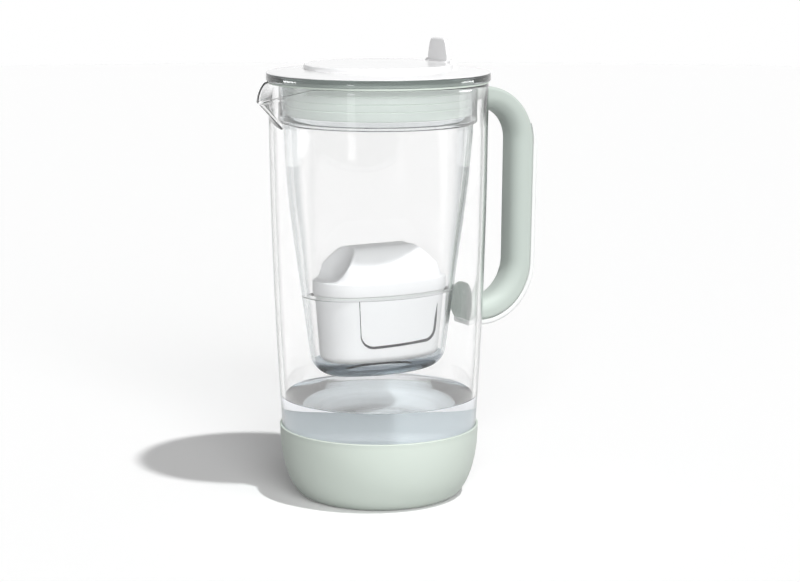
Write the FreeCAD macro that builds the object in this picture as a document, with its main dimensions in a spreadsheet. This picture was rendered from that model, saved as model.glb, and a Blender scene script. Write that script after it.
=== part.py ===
import FreeCAD, Part
import math
import os
from types import SimpleNamespace
from typing import NamedTuple

import Sketcher

# Water filter pitcher: a glass jug in a soft foot sleeve, with a glued handle, a hanging
# hopper, a filter cartridge and a lid with a fill flap. Z is up, the jug's axis is Z, the
# table is z = 0, the handle points along +X and the spout along -X.

# Driving sizes, in millimetres
SIZES = {
    # foot sleeve
    "sleeve_height": 47.4,
    "sleeve_taper": 4.25,
    "sleeve_corner_round": 20.0,
    "sleeve_floor": 3.0,
    "sleeve_lip": 1.4,
    "sleeve_lip_round": 0.5,
    "sleeve_clearance": 0.2,
    # glass jug
    "jug_rim_height": 270.3,
    "jug_rim_radius": 70.6,
    "jug_waist_height": 51.5,
    "jug_taper": 6.7,
    "jug_corner_round": 34.0,
    "jug_wall": 3.0,
    "jug_floor": 5.0,
    # pouring spout
    "spout_overhang": 17.0,
    "spout_depth": 28.3,
    "spout_drop": 8.4,
    "spout_tip_round": 8.0,
    "spout_half_width": 40.0,
    "spout_lip_run": 24.0,
    # handle
    "handle_reach": 116.4,
    "handle_drop": 4.3,
    "handle_foot": 106.7,
    "handle_width": 23.0,
    "grip_thickness": 11.6,
    "grip_root_thickness": 16.0,
    "grip_foot_thickness": 13.0,
    "grip_top_bend": 33.0,
    "grip_foot_bend": 36.6,
    "grip_inner_top_bend": 20.5,
    "grip_inner_foot_bend": 26.5,
    "grip_inner_round": 5.0,
    "grip_outer_round": 1.6,
    "spine_thickness": 3.4,
    "spine_drop": 26.0,
    "spine_end_round": 3.0,
    "spine_edge_round": 1.2,
    "bond_thickness": 0.5,
    # hopper
    "rim_gasket_thickness": 1.2,
    "rim_gasket_width": 4.2,
    "flange_overhang": 1.4,
    "flange_thickness": 5.0,
    "flange_round": 0.8,
    "collar_clearance": 3.6,
    "collar_wall": 2.0,
    "collar_depth": 27.0,
    "collar_floor": 2.0,
    "collar_round": 1.6,
    "hopper_wall": 2.0,
    "neck_step": 2.5,
    "shoulder_rise": 64.0,
    "shoulder_draw": 1.5,
    "hopper_shoulder_half_width": 48.0,
    "hopper_seat_depth": 136.5,
    "seat_draw": 7.0,
    "seat_side_gap": 0.8,
    "seat_end_gap": 2.0,
    "foot_gap": 5.4,
    "foot_end_gap": 3.5,
    "foot_side_gap": 4.5,
    "hopper_foot_round": 13.0,
    "seat_thickness": 2.4,
    "seat_clearance": 1.4,
    "outlet_half_length": 24.0,
    "outlet_half_width": 11.0,
    # filter cartridge
    "cartridge_gasket_thickness": 1.0,
    "cartridge_height": 54.0,
    "cartridge_rim_half_width": 31.0,
    "cartridge_rim_height": 9.4,
    "cartridge_rim_round": 1.2,
    "cartridge_rim_step": 4.0,
    "cartridge_draft": 5.0,
    "cartridge_foot_round": 4.0,
    "cartridge_wall": 1.6,
    "dome_height": 20.5,
    "dome_step": 5.0,
    "dome_waist_height": 8.0,
    "dome_end_slope": 8.0,
    "dome_side_slope": 10.0,
    "ridge_half_length": 20.0,
    "ridge_half_width": 9.5,
    "ridge_shoulder": 3.5,
    "ridge_bevel": 3.0,
    "vent_length": 9.0,
    "vent_width": 1.6,
    "vent_margin": 14.0,
    "screen_thickness": 0.8,
    "fill_clearance": 0.2,
    # lid
    "lid_clearance": 0.4,
    "lid_thickness": 2.6,
    "lid_edge_drop": 0.9,
    "lid_edge_round": 0.7,
    "lid_land": 2.5,
    "fill_radius": 40.0,
    "skirt_wall": 3.2,
    "skirt_tongue": 1.4,
    "seal_gap": 3.5,
    "seal_height": 10.6,
    "seal_round": 0.6,
    # fill flap and its hinge
    "flap_overlap": 8.0,
    "flap_thickness": 3.0,
    "flap_round": 0.9,
    "plug_depth": 3.4,
    "plug_wall": 1.6,
    "plug_clearance": 0.9,
    "hinge_stand": 6.0,
    "barrel_gap": 0.4,
    "barrel_radius": 2.0,
    "pin_radius": 1.1,
    "pin_clearance": 0.1,
    "lug_width": 3.0,
    "lug_length": 5.2,
    "lug_gap": 0.35,
    "notch_clearance": 0.8,
    "tab_height": 18.4,
    "tab_width": 24.0,
    "tab_top_width": 18.4,
    "tab_thickness": 3.2,
    "tab_corner_round": 2.5,
    # cuts run this far past the faces that they open
    "overrun": 1.0,
}

# Shares of named sizes, and counts
OVAL_SHARE = 0.268
SPOUT_MID_SHARE = 0.45
SPOUT_BASE_SHARE = 0.8
SPOUT_ROOT_SHARE = 0.985
SPOUT_TIP_SHARE = 0.95
LUG_ROUND_SHARE = 0.45
TOUCH_SHARE = 0.01
HALF_SHARE = 0.5
DOUBLE_SHARE = 2.0
VENT_COUNT = 9
FULL_TURN = 360


class Size:
    """A length as its number and as the sheet expression that drives it."""

    def __init__(self, number, text):
        self.number = number
        self.text = text

    def __add__(self, other):
        return Size(self.number + number_of(other), f"({self.text} + {text_of(other)})")

    def __radd__(self, other):
        return Size(number_of(other) + self.number, f"({text_of(other)} + {self.text})")

    def __sub__(self, other):
        return Size(self.number - number_of(other), f"({self.text} - {text_of(other)})")

    def __mul__(self, other):
        return Size(self.number * number_of(other), f"({self.text} * {text_of(other)})")

    def __truediv__(self, other):
        return Size(self.number / number_of(other), f"({self.text} / {text_of(other)})")

    def __neg__(self):
        return Size(-self.number, f"(0 - {self.text})")

    def root(self):
        """Square root of a product of two lengths."""
        return Size(math.sqrt(self.number), f"sqrt({self.text})")


class Corner(NamedTuple):
    """A corner of an outline, its round, and the radius of the next side if that bows out."""

    across: object
    up: object
    round: object = None
    bow: object = None


class Oval(NamedTuple):
    """A level oval of four arcs: its half length along X, half width along Y and height."""

    half_length: object
    half_width: object
    height: object

    def inset(self, wall, height=None):
        """The same oval drawn in by a wall, at its own or another height."""
        level = self.height if height is None else height
        return Oval(self.half_length - wall, self.half_width - wall, level)


def number_of(size):
    """Plain number of a size or of a bare zero or share."""
    return size.number if isinstance(size, Size) else size


def text_of(size):
    """Expression text of a size or of a bare zero or share."""
    return size.text if isinstance(size, Size) else repr(size)


def bind(thing, name, size):
    """Drive one property of an object from the sheet."""
    thing.setExpression(name, text_of(size))


# Document and sheet
doc = FreeCAD.newDocument("water_filter_pitcher")
sheet = doc.addObject("Spreadsheet::Sheet", "Sizes")
for row, (alias, value) in enumerate(SIZES.items(), start=1):
    sheet.set(f"A{row}", alias)
    sheet.set(f"B{row}", str(value))
    sheet.setAlias(f"B{row}", alias)
doc.recompute()
s = SimpleNamespace(**{alias: Size(sheet.get(alias), f"Sizes.{alias}") for alias in SIZES})


# Drawing helpers
def new_body(label):
    """Empty body with its label."""
    body = doc.addObject("PartDesign::Body", label)
    body.Label = label
    return body


def new_sketch(body, name, role, offset=None):
    """Sketch on one of the body's own origin planes, moved along its normal by an offset."""
    sketch = body.newObject("Sketcher::SketchObject", name)
    plane = next(item for item in body.Origin.OriginFeatures if item.Role == role)
    sketch.AttachmentSupport = [(plane, "")]
    sketch.MapMode = "FlatFace"
    if offset is not None:
        bind(sketch, "AttachmentOffset.Base.z", offset)
    return sketch


def fix_point(sketch, geometry, end, across, up):
    """Hold one point of the sketch at its place from the origin."""
    for kind, axis, size in (("DistanceX", -2, across), ("DistanceY", -1, up)):
        if isinstance(size, Size):
            place = Sketcher.Constraint(kind, -1, 1, geometry, end, size.number)
            bind(sketch, f"Constraints[{sketch.addConstraint(place)}]", size)
        else:
            sketch.addConstraint(Sketcher.Constraint("PointOnObject", geometry, end, axis))


def fix_radius(sketch, geometry, size):
    """Hold the radius of one arc of the sketch."""
    index = sketch.addConstraint(Sketcher.Constraint("Radius", geometry, size.number))
    bind(sketch, f"Constraints[{index}]", size)


def arc_through(start, end, centre):
    """Arc that turns left about its centre from one point to another."""
    reach = start - centre
    circle = Part.Circle(centre, FreeCAD.Vector(0, 0, 1), reach.Length)
    leave = end - centre
    return Part.ArcOfCircle(circle, math.atan2(reach.y, reach.x), math.atan2(leave.y, leave.x))


def bowed_arc(start, end, radius):
    """Arc from one point to another that bows to the right of its way."""
    chord = end - start
    left = FreeCAD.Vector(-chord.y, chord.x, 0).normalize()
    depth = math.sqrt(radius**2 - (chord.Length / 2) ** 2)
    return arc_through(start, end, (start + end) / 2 + left * depth)


def rounded_corner(before, point, after, radius):
    """Tangent points and centre of a round, and whether it turns left."""
    back = (before - point).normalize()
    ahead = (after - point).normalize()
    half_angle = back.getAngle(ahead) / 2
    run = radius / math.tan(half_angle)
    centre = point + (back + ahead).normalize() * (radius / math.sin(half_angle))
    turns_left = (-back).cross(ahead).z > 0
    return point + back * run, point + ahead * run, centre, turns_left


def draw(sketch, corners):
    """Closed outline through the corners, with tangent rounds where they are given."""
    points = [FreeCAD.Vector(number_of(c.across), number_of(c.up), 0) for c in corners]
    count = len(corners)
    rounds = {}
    arrive = list(points)
    leave = list(points)
    for n, corner in enumerate(corners):
        if corner.round is not None:
            rounds[n] = rounded_corner(points[n - 1], points[n], points[(n + 1) % count], corner.round.number)
            arrive[n], leave[n] = rounds[n][:2]
    sides = []
    for n, corner in enumerate(corners):
        start, end = leave[n], arrive[(n + 1) % count]
        side = Part.LineSegment(start, end)
        if corner.bow is not None:
            side = bowed_arc(start, end, corner.bow.number)
        sides.append(sketch.addGeometry(side, False))
    for n, corner in enumerate(corners):
        before, after = sides[n - 1], sides[n]
        if n in rounds:
            first, last, centre, turns_left = rounds[n]
            if turns_left:
                arc = sketch.addGeometry(arc_through(first, last, centre), False)
            else:
                arc = sketch.addGeometry(arc_through(last, first, centre), False)
            near, far = (1, 2) if turns_left else (2, 1)
            sketch.addConstraint(Sketcher.Constraint("Tangent", before, 2, arc, near))
            sketch.addConstraint(Sketcher.Constraint("Tangent", after, 1, arc, far))
            fix_radius(sketch, arc, corner.round)
            peak = sketch.addGeometry(Part.Point(points[n]), True)
            sketch.addConstraint(Sketcher.Constraint("PointOnObject", peak, 1, before))
            sketch.addConstraint(Sketcher.Constraint("PointOnObject", peak, 1, after))
            fix_point(sketch, peak, 1, corner.across, corner.up)
        else:
            sketch.addConstraint(Sketcher.Constraint("Coincident", before, 2, after, 1))
            fix_point(sketch, after, 1, corner.across, corner.up)
        if corner.bow is not None:
            fix_radius(sketch, after, corner.bow)
    return sketch


def draw_oval(sketch, oval):
    """Four arcs that meet in tangents: two ends and two flanks."""
    lean = 1 + OVAL_SHARE**2
    tip = (oval.half_width - oval.half_length * OVAL_SHARE) / (1 - OVAL_SHARE)
    centre = oval.half_length - tip
    flank = tip + centre * (lean / (2 * OVAL_SHARE))
    across = centre + tip * (2 * OVAL_SHARE / lean)
    up = tip * ((1 - OVAL_SHARE**2) / lean)
    joints = [(across, -up), (across, up), (-across, up), (-across, -up)]
    points = [FreeCAD.Vector(x.number, y.number, 0) for x, y in joints]
    arcs = []
    for n, radius in enumerate((tip, flank, tip, flank)):
        arcs.append(sketch.addGeometry(bowed_arc(points[n], points[(n + 1) % 4], radius.number), False))
    for n, radius in enumerate((tip, flank, tip, flank)):
        sketch.addConstraint(Sketcher.Constraint("Coincident", arcs[n - 1], 2, arcs[n], 1))
        fix_point(sketch, arcs[n], 1, *joints[n])
        fix_radius(sketch, arcs[n], radius)
    return sketch


# Feature helpers
def lathe(label, corners):
    """Body turned about Z from an outline of radii and heights."""
    body = new_body(label)
    sketch = draw(new_sketch(body, f"{label}_outline", "XZ_Plane"), corners)
    turn = body.newObject("PartDesign::Revolution", f"{label}_turn")
    turn.Profile = sketch
    turn.ReferenceAxis = (sketch, ["V_Axis"])
    turn.Angle = FULL_TURN
    return body


def pad(body, sketch, length, midplane=False):
    """Pad of a sketch along its normal, or to both sides of it."""
    feature = body.newObject("PartDesign::Pad", f"{sketch.Name}_pad")
    feature.Profile = sketch
    feature.Midplane = midplane
    bind(feature, "Length", length)
    return feature


def slab(label, corners, role, length, offset=None, midplane=False):
    """Body of one padded outline."""
    body = new_body(label)
    sketch = draw(new_sketch(body, f"{label}_outline", role, offset), corners)
    pad(body, sketch, length, midplane)
    return body


def oval_plate(label, oval, thickness):
    """Body of one padded oval that rises from the oval's height."""
    body = new_body(label)
    sketch = draw_oval(new_sketch(body, f"{label}_oval", "XY_Plane", oval.height), oval)
    pad(body, sketch, thickness)
    return body


def loft(body, label, sketches):
    """Loft through sketches in their order."""
    feature = body.newObject("PartDesign::AdditiveLoft", f"{label}_loft")
    feature.Profile = sketches[0]
    feature.Sections = sketches[1:]
    return feature


def oval_loft(label, ovals):
    """Body lofted through level ovals."""
    body = new_body(label)
    sketches = []
    for n, oval in enumerate(ovals):
        sketches.append(draw_oval(new_sketch(body, f"{label}_oval_{n}", "XY_Plane", oval.height), oval))
    loft(body, label, sketches)
    return body


def round_edges(body, name, size, wanted):
    """Round the edges of the body whose middle points are wanted."""
    doc.recompute()
    base = body.Tip
    names = []
    for n, edge in enumerate(base.Shape.Edges, start=1):
        middle = edge.valueAt((edge.FirstParameter + edge.LastParameter) / 2)
        if wanted(middle):
            names.append(f"Edge{n}")
    feature = body.newObject("PartDesign::Fillet", name)
    feature.Base = (base, names)
    bind(feature, "Radius", size)
    return feature


def near(value, size):
    """Whether a coordinate lies on a level, within a small part of the cuts' overrun."""
    return abs(value - number_of(size)) < s.overrun.number * TOUCH_SHARE


def joined(label, shapes):
    """Union of several forms."""
    feature = doc.addObject("Part::MultiFuse", label)
    feature.Shapes = shapes
    return feature


def cut(label, base, tool):
    """One form with another taken out of it."""
    feature = doc.addObject("Part::Cut", label)
    feature.Base = base
    feature.Tool = tool
    return feature


def shared(label, first, second):
    """What two forms have in common."""
    feature = doc.addObject("Part::Common", label)
    feature.Base = first
    feature.Tool = second
    return feature


# Glass jug
jug_bow_rise = s.jug_rim_height - s.jug_waist_height
jug_bow = (jug_bow_rise * jug_bow_rise + s.jug_taper * s.jug_taper) / (s.jug_taper * DOUBLE_SHARE)


def jug_radius_at(height, offset=0):
    """Radius of the jug's bowed side at a height, or of a side drawn outside it."""
    fall = s.jug_rim_height - height
    bow = jug_bow + offset
    return s.jug_rim_radius - jug_bow + (bow * bow - fall * fall).root()


def jug_form(label, offset, floor, corner_round, top):
    """Solid of the jug's side and floor, drawn in or out from its outer face."""
    side_top = s.jug_rim_radius + offset
    corners = [
        Corner(0, floor),
        Corner(jug_radius_at(floor, offset), floor, corner_round, bow=jug_bow + offset),
        Corner(side_top, s.jug_rim_height),
        Corner(0, s.jug_rim_height),
    ]
    if top is not None:
        corners[3:] = [Corner(side_top, top), Corner(0, top)]
    return lathe(label, corners)


def spout_form(label, inset, top):
    """Solid of the pulled beak, from its root on the jug's side up to a height."""
    root_height = s.jug_rim_height - s.spout_depth + inset
    root_reach = s.jug_rim_radius * SPOUT_ROOT_SHARE
    tip_rise = s.spout_depth - s.spout_drop
    full_reach = root_reach + (spout_reach - root_reach) * (s.spout_depth / tip_rise)
    base = s.jug_rim_radius * SPOUT_BASE_SHARE
    tip_half = s.spout_tip_round * SPOUT_TIP_SHARE
    body = new_body(label)
    sketches = []
    for n, (rise_share, spread_share) in enumerate(((0, 0), (HALF_SHARE, SPOUT_MID_SHARE), (1, 1))):
        level = root_height + (top - root_height) * rise_share
        reach = root_reach + (full_reach - root_reach) * spread_share - inset
        half = s.spout_tip_round + (s.spout_half_width - s.spout_tip_round) * spread_share
        corners = [
            Corner(-base, -half),
            Corner(-reach, -tip_half, s.spout_tip_round - inset),
            Corner(-reach, tip_half, s.spout_tip_round - inset),
            Corner(-base, half),
        ]
        sketches.append(draw(new_sketch(body, f"{label}_level_{n}", "XY_Plane", level), corners))
    loft(body, label, sketches)
    return body


jug_base = s.sleeve_floor
spout_reach = s.jug_rim_radius + s.spout_overhang
jug_inner_floor = jug_base + s.jug_floor
jug_outer = jug_form("jug_outer", 0, jug_base, s.jug_corner_round, None)
jug_inner = jug_form(
    "jug_inner", -s.jug_wall, jug_inner_floor, s.jug_corner_round - s.jug_wall, s.jug_rim_height + s.overrun
)
spout_outer = spout_form("spout_outer", 0, s.jug_rim_height)
spout_inner = spout_form("spout_inner", s.jug_wall, s.jug_rim_height + s.overrun)
lip_back = spout_reach - s.spout_lip_run
lip_end = spout_reach + s.spout_lip_run
lip_plane = slab(
    "lip_plane",
    [
        Corner(-lip_back, s.jug_rim_height),
        Corner(-lip_back, s.jug_rim_height + s.overrun),
        Corner(-lip_end, s.jug_rim_height + s.overrun),
        Corner(-lip_end, s.jug_rim_height - s.spout_drop * DOUBLE_SHARE),
    ],
    "XZ_Plane",
    s.jug_rim_radius * DOUBLE_SHARE,
    midplane=True,
)
glass_jug = cut(
    "glass_jug",
    joined("jug_with_beak", [jug_outer, spout_outer]),
    joined("jug_hollow", [jug_inner, spout_inner, lip_plane]),
)

# Foot sleeve
sleeve_inner = s.sleeve_clearance
sleeve_top_radius = jug_radius_at(s.sleeve_height, sleeve_inner) + s.sleeve_lip
sleeve_outer = lathe(
    "sleeve_outer",
    [
        Corner(0, 0),
        Corner(sleeve_top_radius - s.sleeve_taper, 0, s.sleeve_corner_round),
        Corner(sleeve_top_radius, s.sleeve_height, s.sleeve_lip_round),
        Corner(0, s.sleeve_height),
    ],
)
sleeve_hollow = jug_form("sleeve_hollow", sleeve_inner, jug_base, s.jug_corner_round + sleeve_inner, None)
base_sleeve = cut("base_sleeve", sleeve_outer, sleeve_hollow)

# Handle
handle_top = s.jug_rim_height - s.handle_drop
spine_top = handle_top - s.spine_drop
grip_outer = s.handle_reach - s.spine_thickness
grip_inner = grip_outer - s.grip_thickness
grip_foot = s.handle_foot + s.spine_thickness
grip_root_under = handle_top - s.grip_root_thickness
grip_foot_over = grip_foot + s.grip_foot_thickness
handle_start = s.jug_rim_radius - s.jug_taper - s.grip_root_thickness
grip_outline = [
    Corner(handle_start, handle_top),
    Corner(grip_outer, handle_top, s.grip_top_bend),
    Corner(grip_outer, grip_foot, s.grip_foot_bend),
    Corner(handle_start, grip_foot),
    Corner(handle_start, grip_foot_over),
    Corner(grip_inner, grip_foot_over, s.grip_inner_foot_bend),
    Corner(grip_inner, grip_root_under, s.grip_inner_top_bend),
    Corner(handle_start, grip_root_under),
]
spine_outline = [
    Corner(handle_start, s.handle_foot),
    Corner(s.handle_reach, s.handle_foot, s.grip_foot_bend + s.spine_thickness),
    Corner(s.handle_reach, spine_top, s.spine_end_round),
    Corner(grip_inner, spine_top),
    Corner(grip_inner, grip_foot_over),
    Corner(handle_start, grip_foot_over),
]
spine_width = s.handle_width - s.spine_edge_round
jug_jacket = jug_form("jug_jacket", s.bond_thickness, jug_base, s.jug_corner_round, None)
grip_blank = slab("grip_blank", grip_outline, "XZ_Plane", s.handle_width, midplane=True)
grip_body = slab("grip_body", grip_outline, "XZ_Plane", s.handle_width, midplane=True)
spine_body = slab("spine_body", spine_outline, "XZ_Plane", spine_width, midplane=True)


def on_side(point, width):
    """Whether a point lies on one of the handle's two flat sides, clear of its ends."""
    return near(abs(point.y), width * HALF_SHARE) and not near(point.x, handle_start)


def on_grip_inside(point):
    """Whether a point of the grip faces the fingers."""
    slack = s.overrun.number
    level = grip_foot_over.number - slack < point.z < grip_root_under.number + slack
    return level and point.x < grip_inner.number + slack


round_edges(
    grip_body,
    "grip_inside_rounds",
    s.grip_inner_round,
    lambda point: on_side(point, s.handle_width) and on_grip_inside(point),
)
round_edges(
    grip_body,
    "grip_outside_rounds",
    s.grip_outer_round,
    lambda point: on_side(point, s.handle_width) and not on_grip_inside(point),
)
round_edges(
    spine_body,
    "spine_rounds",
    s.spine_edge_round,
    lambda point: on_side(point, spine_width)
    and (point.x > grip_outer.number or point.z < grip_foot.number),
)
handle_grip = cut("handle_grip", grip_body, jug_jacket)
spine_strip = cut("spine_strip", spine_body, grip_blank)
handle_spine = cut("handle_spine", spine_strip, jug_jacket)
bond_layers = shared("bond_layers", grip_body, jug_jacket)
handle_bond_pads = cut("handle_bond_pads", bond_layers, jug_outer)

# Hopper
flange_radius = s.jug_rim_radius + s.flange_overhang
flange_under = s.jug_rim_height + s.rim_gasket_thickness
flange_top = flange_under + s.flange_thickness
collar_radius = s.jug_rim_radius - s.jug_wall - s.collar_clearance
collar_under = flange_under - s.collar_depth
collar_floor_top = collar_under + s.collar_floor
collar_bore = collar_radius - s.collar_wall
neck_radius = collar_radius - s.neck_step
neck_bore = neck_radius - s.hopper_wall

# Ovals of the hopper and of the cartridge that sits in it, from the neck down to the foot
seat_level = flange_under - s.hopper_seat_depth
rim_under = seat_level + s.cartridge_gasket_thickness
rim_middle = rim_under + s.cartridge_rim_height * HALF_SHARE
rim_top = rim_under + s.cartridge_rim_height
cartridge_foot = rim_top - s.cartridge_height
hopper_foot = cartridge_foot - s.foot_gap - s.hopper_wall
neck_oval = Oval(neck_radius, neck_radius, collar_floor_top)
shoulder_oval = Oval(
    neck_radius - s.shoulder_draw, s.hopper_shoulder_half_width, seat_level + s.shoulder_rise
)
seat_oval = Oval(
    shoulder_oval.half_length - s.seat_draw,
    s.cartridge_rim_half_width + s.seat_side_gap + s.hopper_wall,
    seat_level,
)
rim_oval = Oval(
    seat_oval.half_length - s.hopper_wall - s.seat_end_gap, s.cartridge_rim_half_width, rim_under
)
shell_neck = rim_oval.inset(s.cartridge_rim_step)
shell_foot = shell_neck.inset(s.cartridge_draft, cartridge_foot)
foot_oval = Oval(
    shell_foot.half_length + s.foot_end_gap + s.hopper_wall,
    shell_foot.half_width + s.foot_side_gap + s.hopper_wall,
    hopper_foot,
)
hopper_collar = lathe(
    "hopper_collar",
    [
        Corner(neck_bore, collar_under),
        Corner(collar_radius, collar_under, s.collar_round),
        Corner(collar_radius, flange_under),
        Corner(flange_radius, flange_under, s.flange_round),
        Corner(flange_radius, flange_top, s.flange_round),
        Corner(collar_bore, flange_top),
        Corner(collar_bore, collar_floor_top),
        Corner(neck_bore, collar_floor_top),
    ],
)
hopper_inner_foot = hopper_foot + s.hopper_wall
hopper_outer = oval_loft("hopper_outer", [neck_oval, shoulder_oval, seat_oval, foot_oval])
round_edges(
    hopper_outer, "hopper_foot_rounds", s.hopper_foot_round, lambda point: near(point.z, hopper_foot)
)
hopper_inner = oval_loft(
    "hopper_inner",
    [
        neck_oval.inset(s.hopper_wall),
        shoulder_oval.inset(s.hopper_wall),
        seat_oval.inset(s.hopper_wall),
        foot_oval.inset(s.hopper_wall, hopper_inner_foot),
    ],
)
round_edges(
    hopper_inner,
    "hopper_inner_rounds",
    s.hopper_foot_round - s.hopper_wall,
    lambda point: near(point.z, hopper_inner_foot),
)
seat_under = seat_level - s.seat_thickness
seat_opening = shell_neck.inset(-s.seat_clearance, seat_under - s.overrun)
seat_edge = seat_oval.inset(s.hopper_wall * HALF_SHARE, seat_under)
seat_blank = oval_plate("seat_blank", seat_edge, s.seat_thickness)
seat_bore = oval_plate("seat_bore", seat_opening, s.seat_thickness + s.overrun * DOUBLE_SHARE)
outlet_oval = Oval(s.outlet_half_length, s.outlet_half_width, hopper_foot - s.overrun)
hopper_outlet = oval_plate("hopper_outlet", outlet_oval, s.hopper_wall + s.overrun * DOUBLE_SHARE)
hopper_shell = cut(
    "hopper_shell",
    joined("hopper_blank", [hopper_collar, hopper_outer]),
    joined("hopper_hollow", [hopper_inner, hopper_outlet]),
)
seat_ledge = cut("seat_ledge", seat_blank, seat_bore)
hopper = joined("hopper", [hopper_shell, seat_ledge])

# Gasket between the flange and the glass rim
rim_gasket_outer = s.jug_rim_radius
rim_gasket_inner = rim_gasket_outer - s.rim_gasket_width
rim_gasket = lathe(
    "rim_gasket",
    [
        Corner(rim_gasket_inner, s.jug_rim_height),
        Corner(rim_gasket_outer, s.jug_rim_height),
        Corner(rim_gasket_outer, flange_under),
        Corner(rim_gasket_inner, flange_under),
    ],
)

# Filter cartridge
shell_floor = cartridge_foot + s.cartridge_wall
shell_cup = oval_loft("shell_cup", [shell_neck, shell_foot])
round_edges(
    shell_cup, "shell_foot_rounds", s.cartridge_foot_round, lambda point: near(point.z, cartridge_foot)
)
shell_rim = oval_plate("shell_rim", rim_oval, s.cartridge_rim_height * HALF_SHARE)
round_edges(shell_rim, "shell_rim_rounds", s.cartridge_rim_round, lambda point: near(point.z, rim_under))
shell_bore = shell_neck.inset(s.cartridge_wall, rim_middle)
shell_well = shell_foot.inset(s.cartridge_wall, shell_floor)
shell_hollow = oval_loft("shell_hollow", [shell_bore, shell_well])
round_edges(
    shell_hollow,
    "shell_hollow_rounds",
    s.cartridge_foot_round - s.cartridge_wall,
    lambda point: near(point.z, shell_floor),
)


def vent_row(label, half_span, height, depth):
    """Row of slots along X, each a slab across Y, that open one wall."""
    row = []
    half_count = (VENT_COUNT - 1) / 2
    row_reach = shell_foot.half_length - s.vent_margin
    for n in range(VENT_COUNT):
        middle = row_reach * ((n - half_count) / half_count)
        corners = [
            Corner(middle - s.vent_width * HALF_SHARE, -half_span),
            Corner(middle + s.vent_width * HALF_SHARE, -half_span),
            Corner(middle + s.vent_width * HALF_SHARE, half_span),
            Corner(middle - s.vent_width * HALF_SHARE, half_span),
        ]
        row.append(slab(f"{label}_{n}", corners, "XY_Plane", depth, height))
    return row


shell_vents = vent_row(
    "shell_vent", s.vent_length, cartridge_foot - s.overrun, s.cartridge_wall + s.overrun * DOUBLE_SHARE
)
cartridge_shell = cut(
    "cartridge_shell",
    joined("shell_blank", [shell_cup, shell_rim]),
    joined("shell_openings", [shell_hollow] + shell_vents),
)

cap_rim_oval = Oval(rim_oval.half_length, rim_oval.half_width, rim_middle)
cap_rim = oval_plate("cap_rim", cap_rim_oval, rim_top - rim_middle)
round_edges(cap_rim, "cap_rim_rounds", s.cartridge_rim_round, lambda point: near(point.z, rim_top))
dome_base = rim_oval.inset(s.dome_step, rim_middle)
dome_waist = Oval(
    dome_base.half_length - s.dome_end_slope,
    dome_base.half_width - s.dome_side_slope,
    rim_top + s.dome_waist_height,
)
dome_peak = rim_top + s.dome_height
dome_ridge = Oval(s.ridge_half_length, s.ridge_half_width, dome_peak - s.ridge_shoulder)
dome_top = dome_ridge.inset(s.ridge_bevel, dome_peak)
cap_dome = oval_loft("cap_dome", [dome_base, dome_waist, dome_ridge, dome_top])
cap_hollow = oval_loft(
    "cap_hollow",
    [
        dome_base.inset(s.cartridge_wall),
        dome_waist.inset(s.cartridge_wall),
        dome_ridge.inset(s.cartridge_wall),
        dome_top.inset(s.cartridge_wall, dome_peak - s.cartridge_wall),
    ],
)
vent_level = rim_top + s.dome_waist_height * HALF_SHARE
cap_vents = vent_row("cap_vent", dome_base.half_width, vent_level, s.vent_width)
cartridge_cap = cut(
    "cartridge_cap",
    joined("cap_blank", [cap_rim, cap_dome]),
    joined("cap_openings", [cap_hollow] + cap_vents),
)

gasket_blank = oval_plate(
    "gasket_blank",
    rim_oval.inset(s.cartridge_rim_round, seat_level),
    s.cartridge_gasket_thickness,
)
gasket_bore = oval_plate(
    "gasket_bore",
    seat_opening.inset(s.fill_clearance, seat_level - s.overrun),
    s.cartridge_gasket_thickness + s.overrun * DOUBLE_SHARE,
)
cartridge_gasket = cut("cartridge_gasket", gasket_blank, gasket_bore)
inlet_level = rim_middle - s.screen_thickness
inlet_edge = s.fill_clearance + s.screen_thickness * HALF_SHARE
inlet_screen = oval_plate("inlet_screen", shell_bore.inset(inlet_edge, inlet_level), s.screen_thickness)
outlet_screen = oval_plate(
    "outlet_screen",
    shell_well.inset(s.cartridge_foot_round - s.cartridge_wall, shell_floor),
    s.screen_thickness,
)
granules_floor = shell_floor + s.screen_thickness
filter_granules = oval_loft(
    "filter_granules",
    [
        shell_bore.inset(s.fill_clearance + s.screen_thickness, inlet_level),
        shell_well.inset(s.cartridge_foot_round - s.cartridge_wall, granules_floor),
    ],
)

# Lid
lid_level = flange_top + s.lid_thickness
flap_radius = s.fill_radius + s.flap_overlap
land_radius = flap_radius + s.lid_land
skirt_outer = collar_bore - s.lid_clearance
skirt_inner = skirt_outer - s.skirt_wall
tongue_outer = skirt_inner + s.skirt_tongue
seal_under = collar_floor_top + s.seal_gap
parting_level = seal_under + s.seal_height
lid_disc = lathe(
    "lid_disc",
    [
        Corner(s.fill_radius, flange_top),
        Corner(flange_radius, flange_top),
        Corner(flange_radius, lid_level - s.lid_edge_drop, s.lid_edge_round),
        Corner(land_radius, lid_level),
        Corner(s.fill_radius, lid_level),
    ],
)
lid_skirt = lathe(
    "lid_skirt",
    [
        Corner(skirt_inner, seal_under + s.seal_round),
        Corner(tongue_outer, seal_under + s.seal_round),
        Corner(tongue_outer, parting_level),
        Corner(skirt_outer, parting_level, s.seal_round),
        Corner(skirt_outer, flange_top),
        Corner(skirt_inner, flange_top),
    ],
)
lid_seal = lathe(
    "lid_seal",
    [
        Corner(tongue_outer, seal_under),
        Corner(skirt_outer, seal_under, s.seal_round),
        Corner(skirt_outer, parting_level, s.seal_round),
        Corner(tongue_outer, parting_level),
    ],
)

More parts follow.
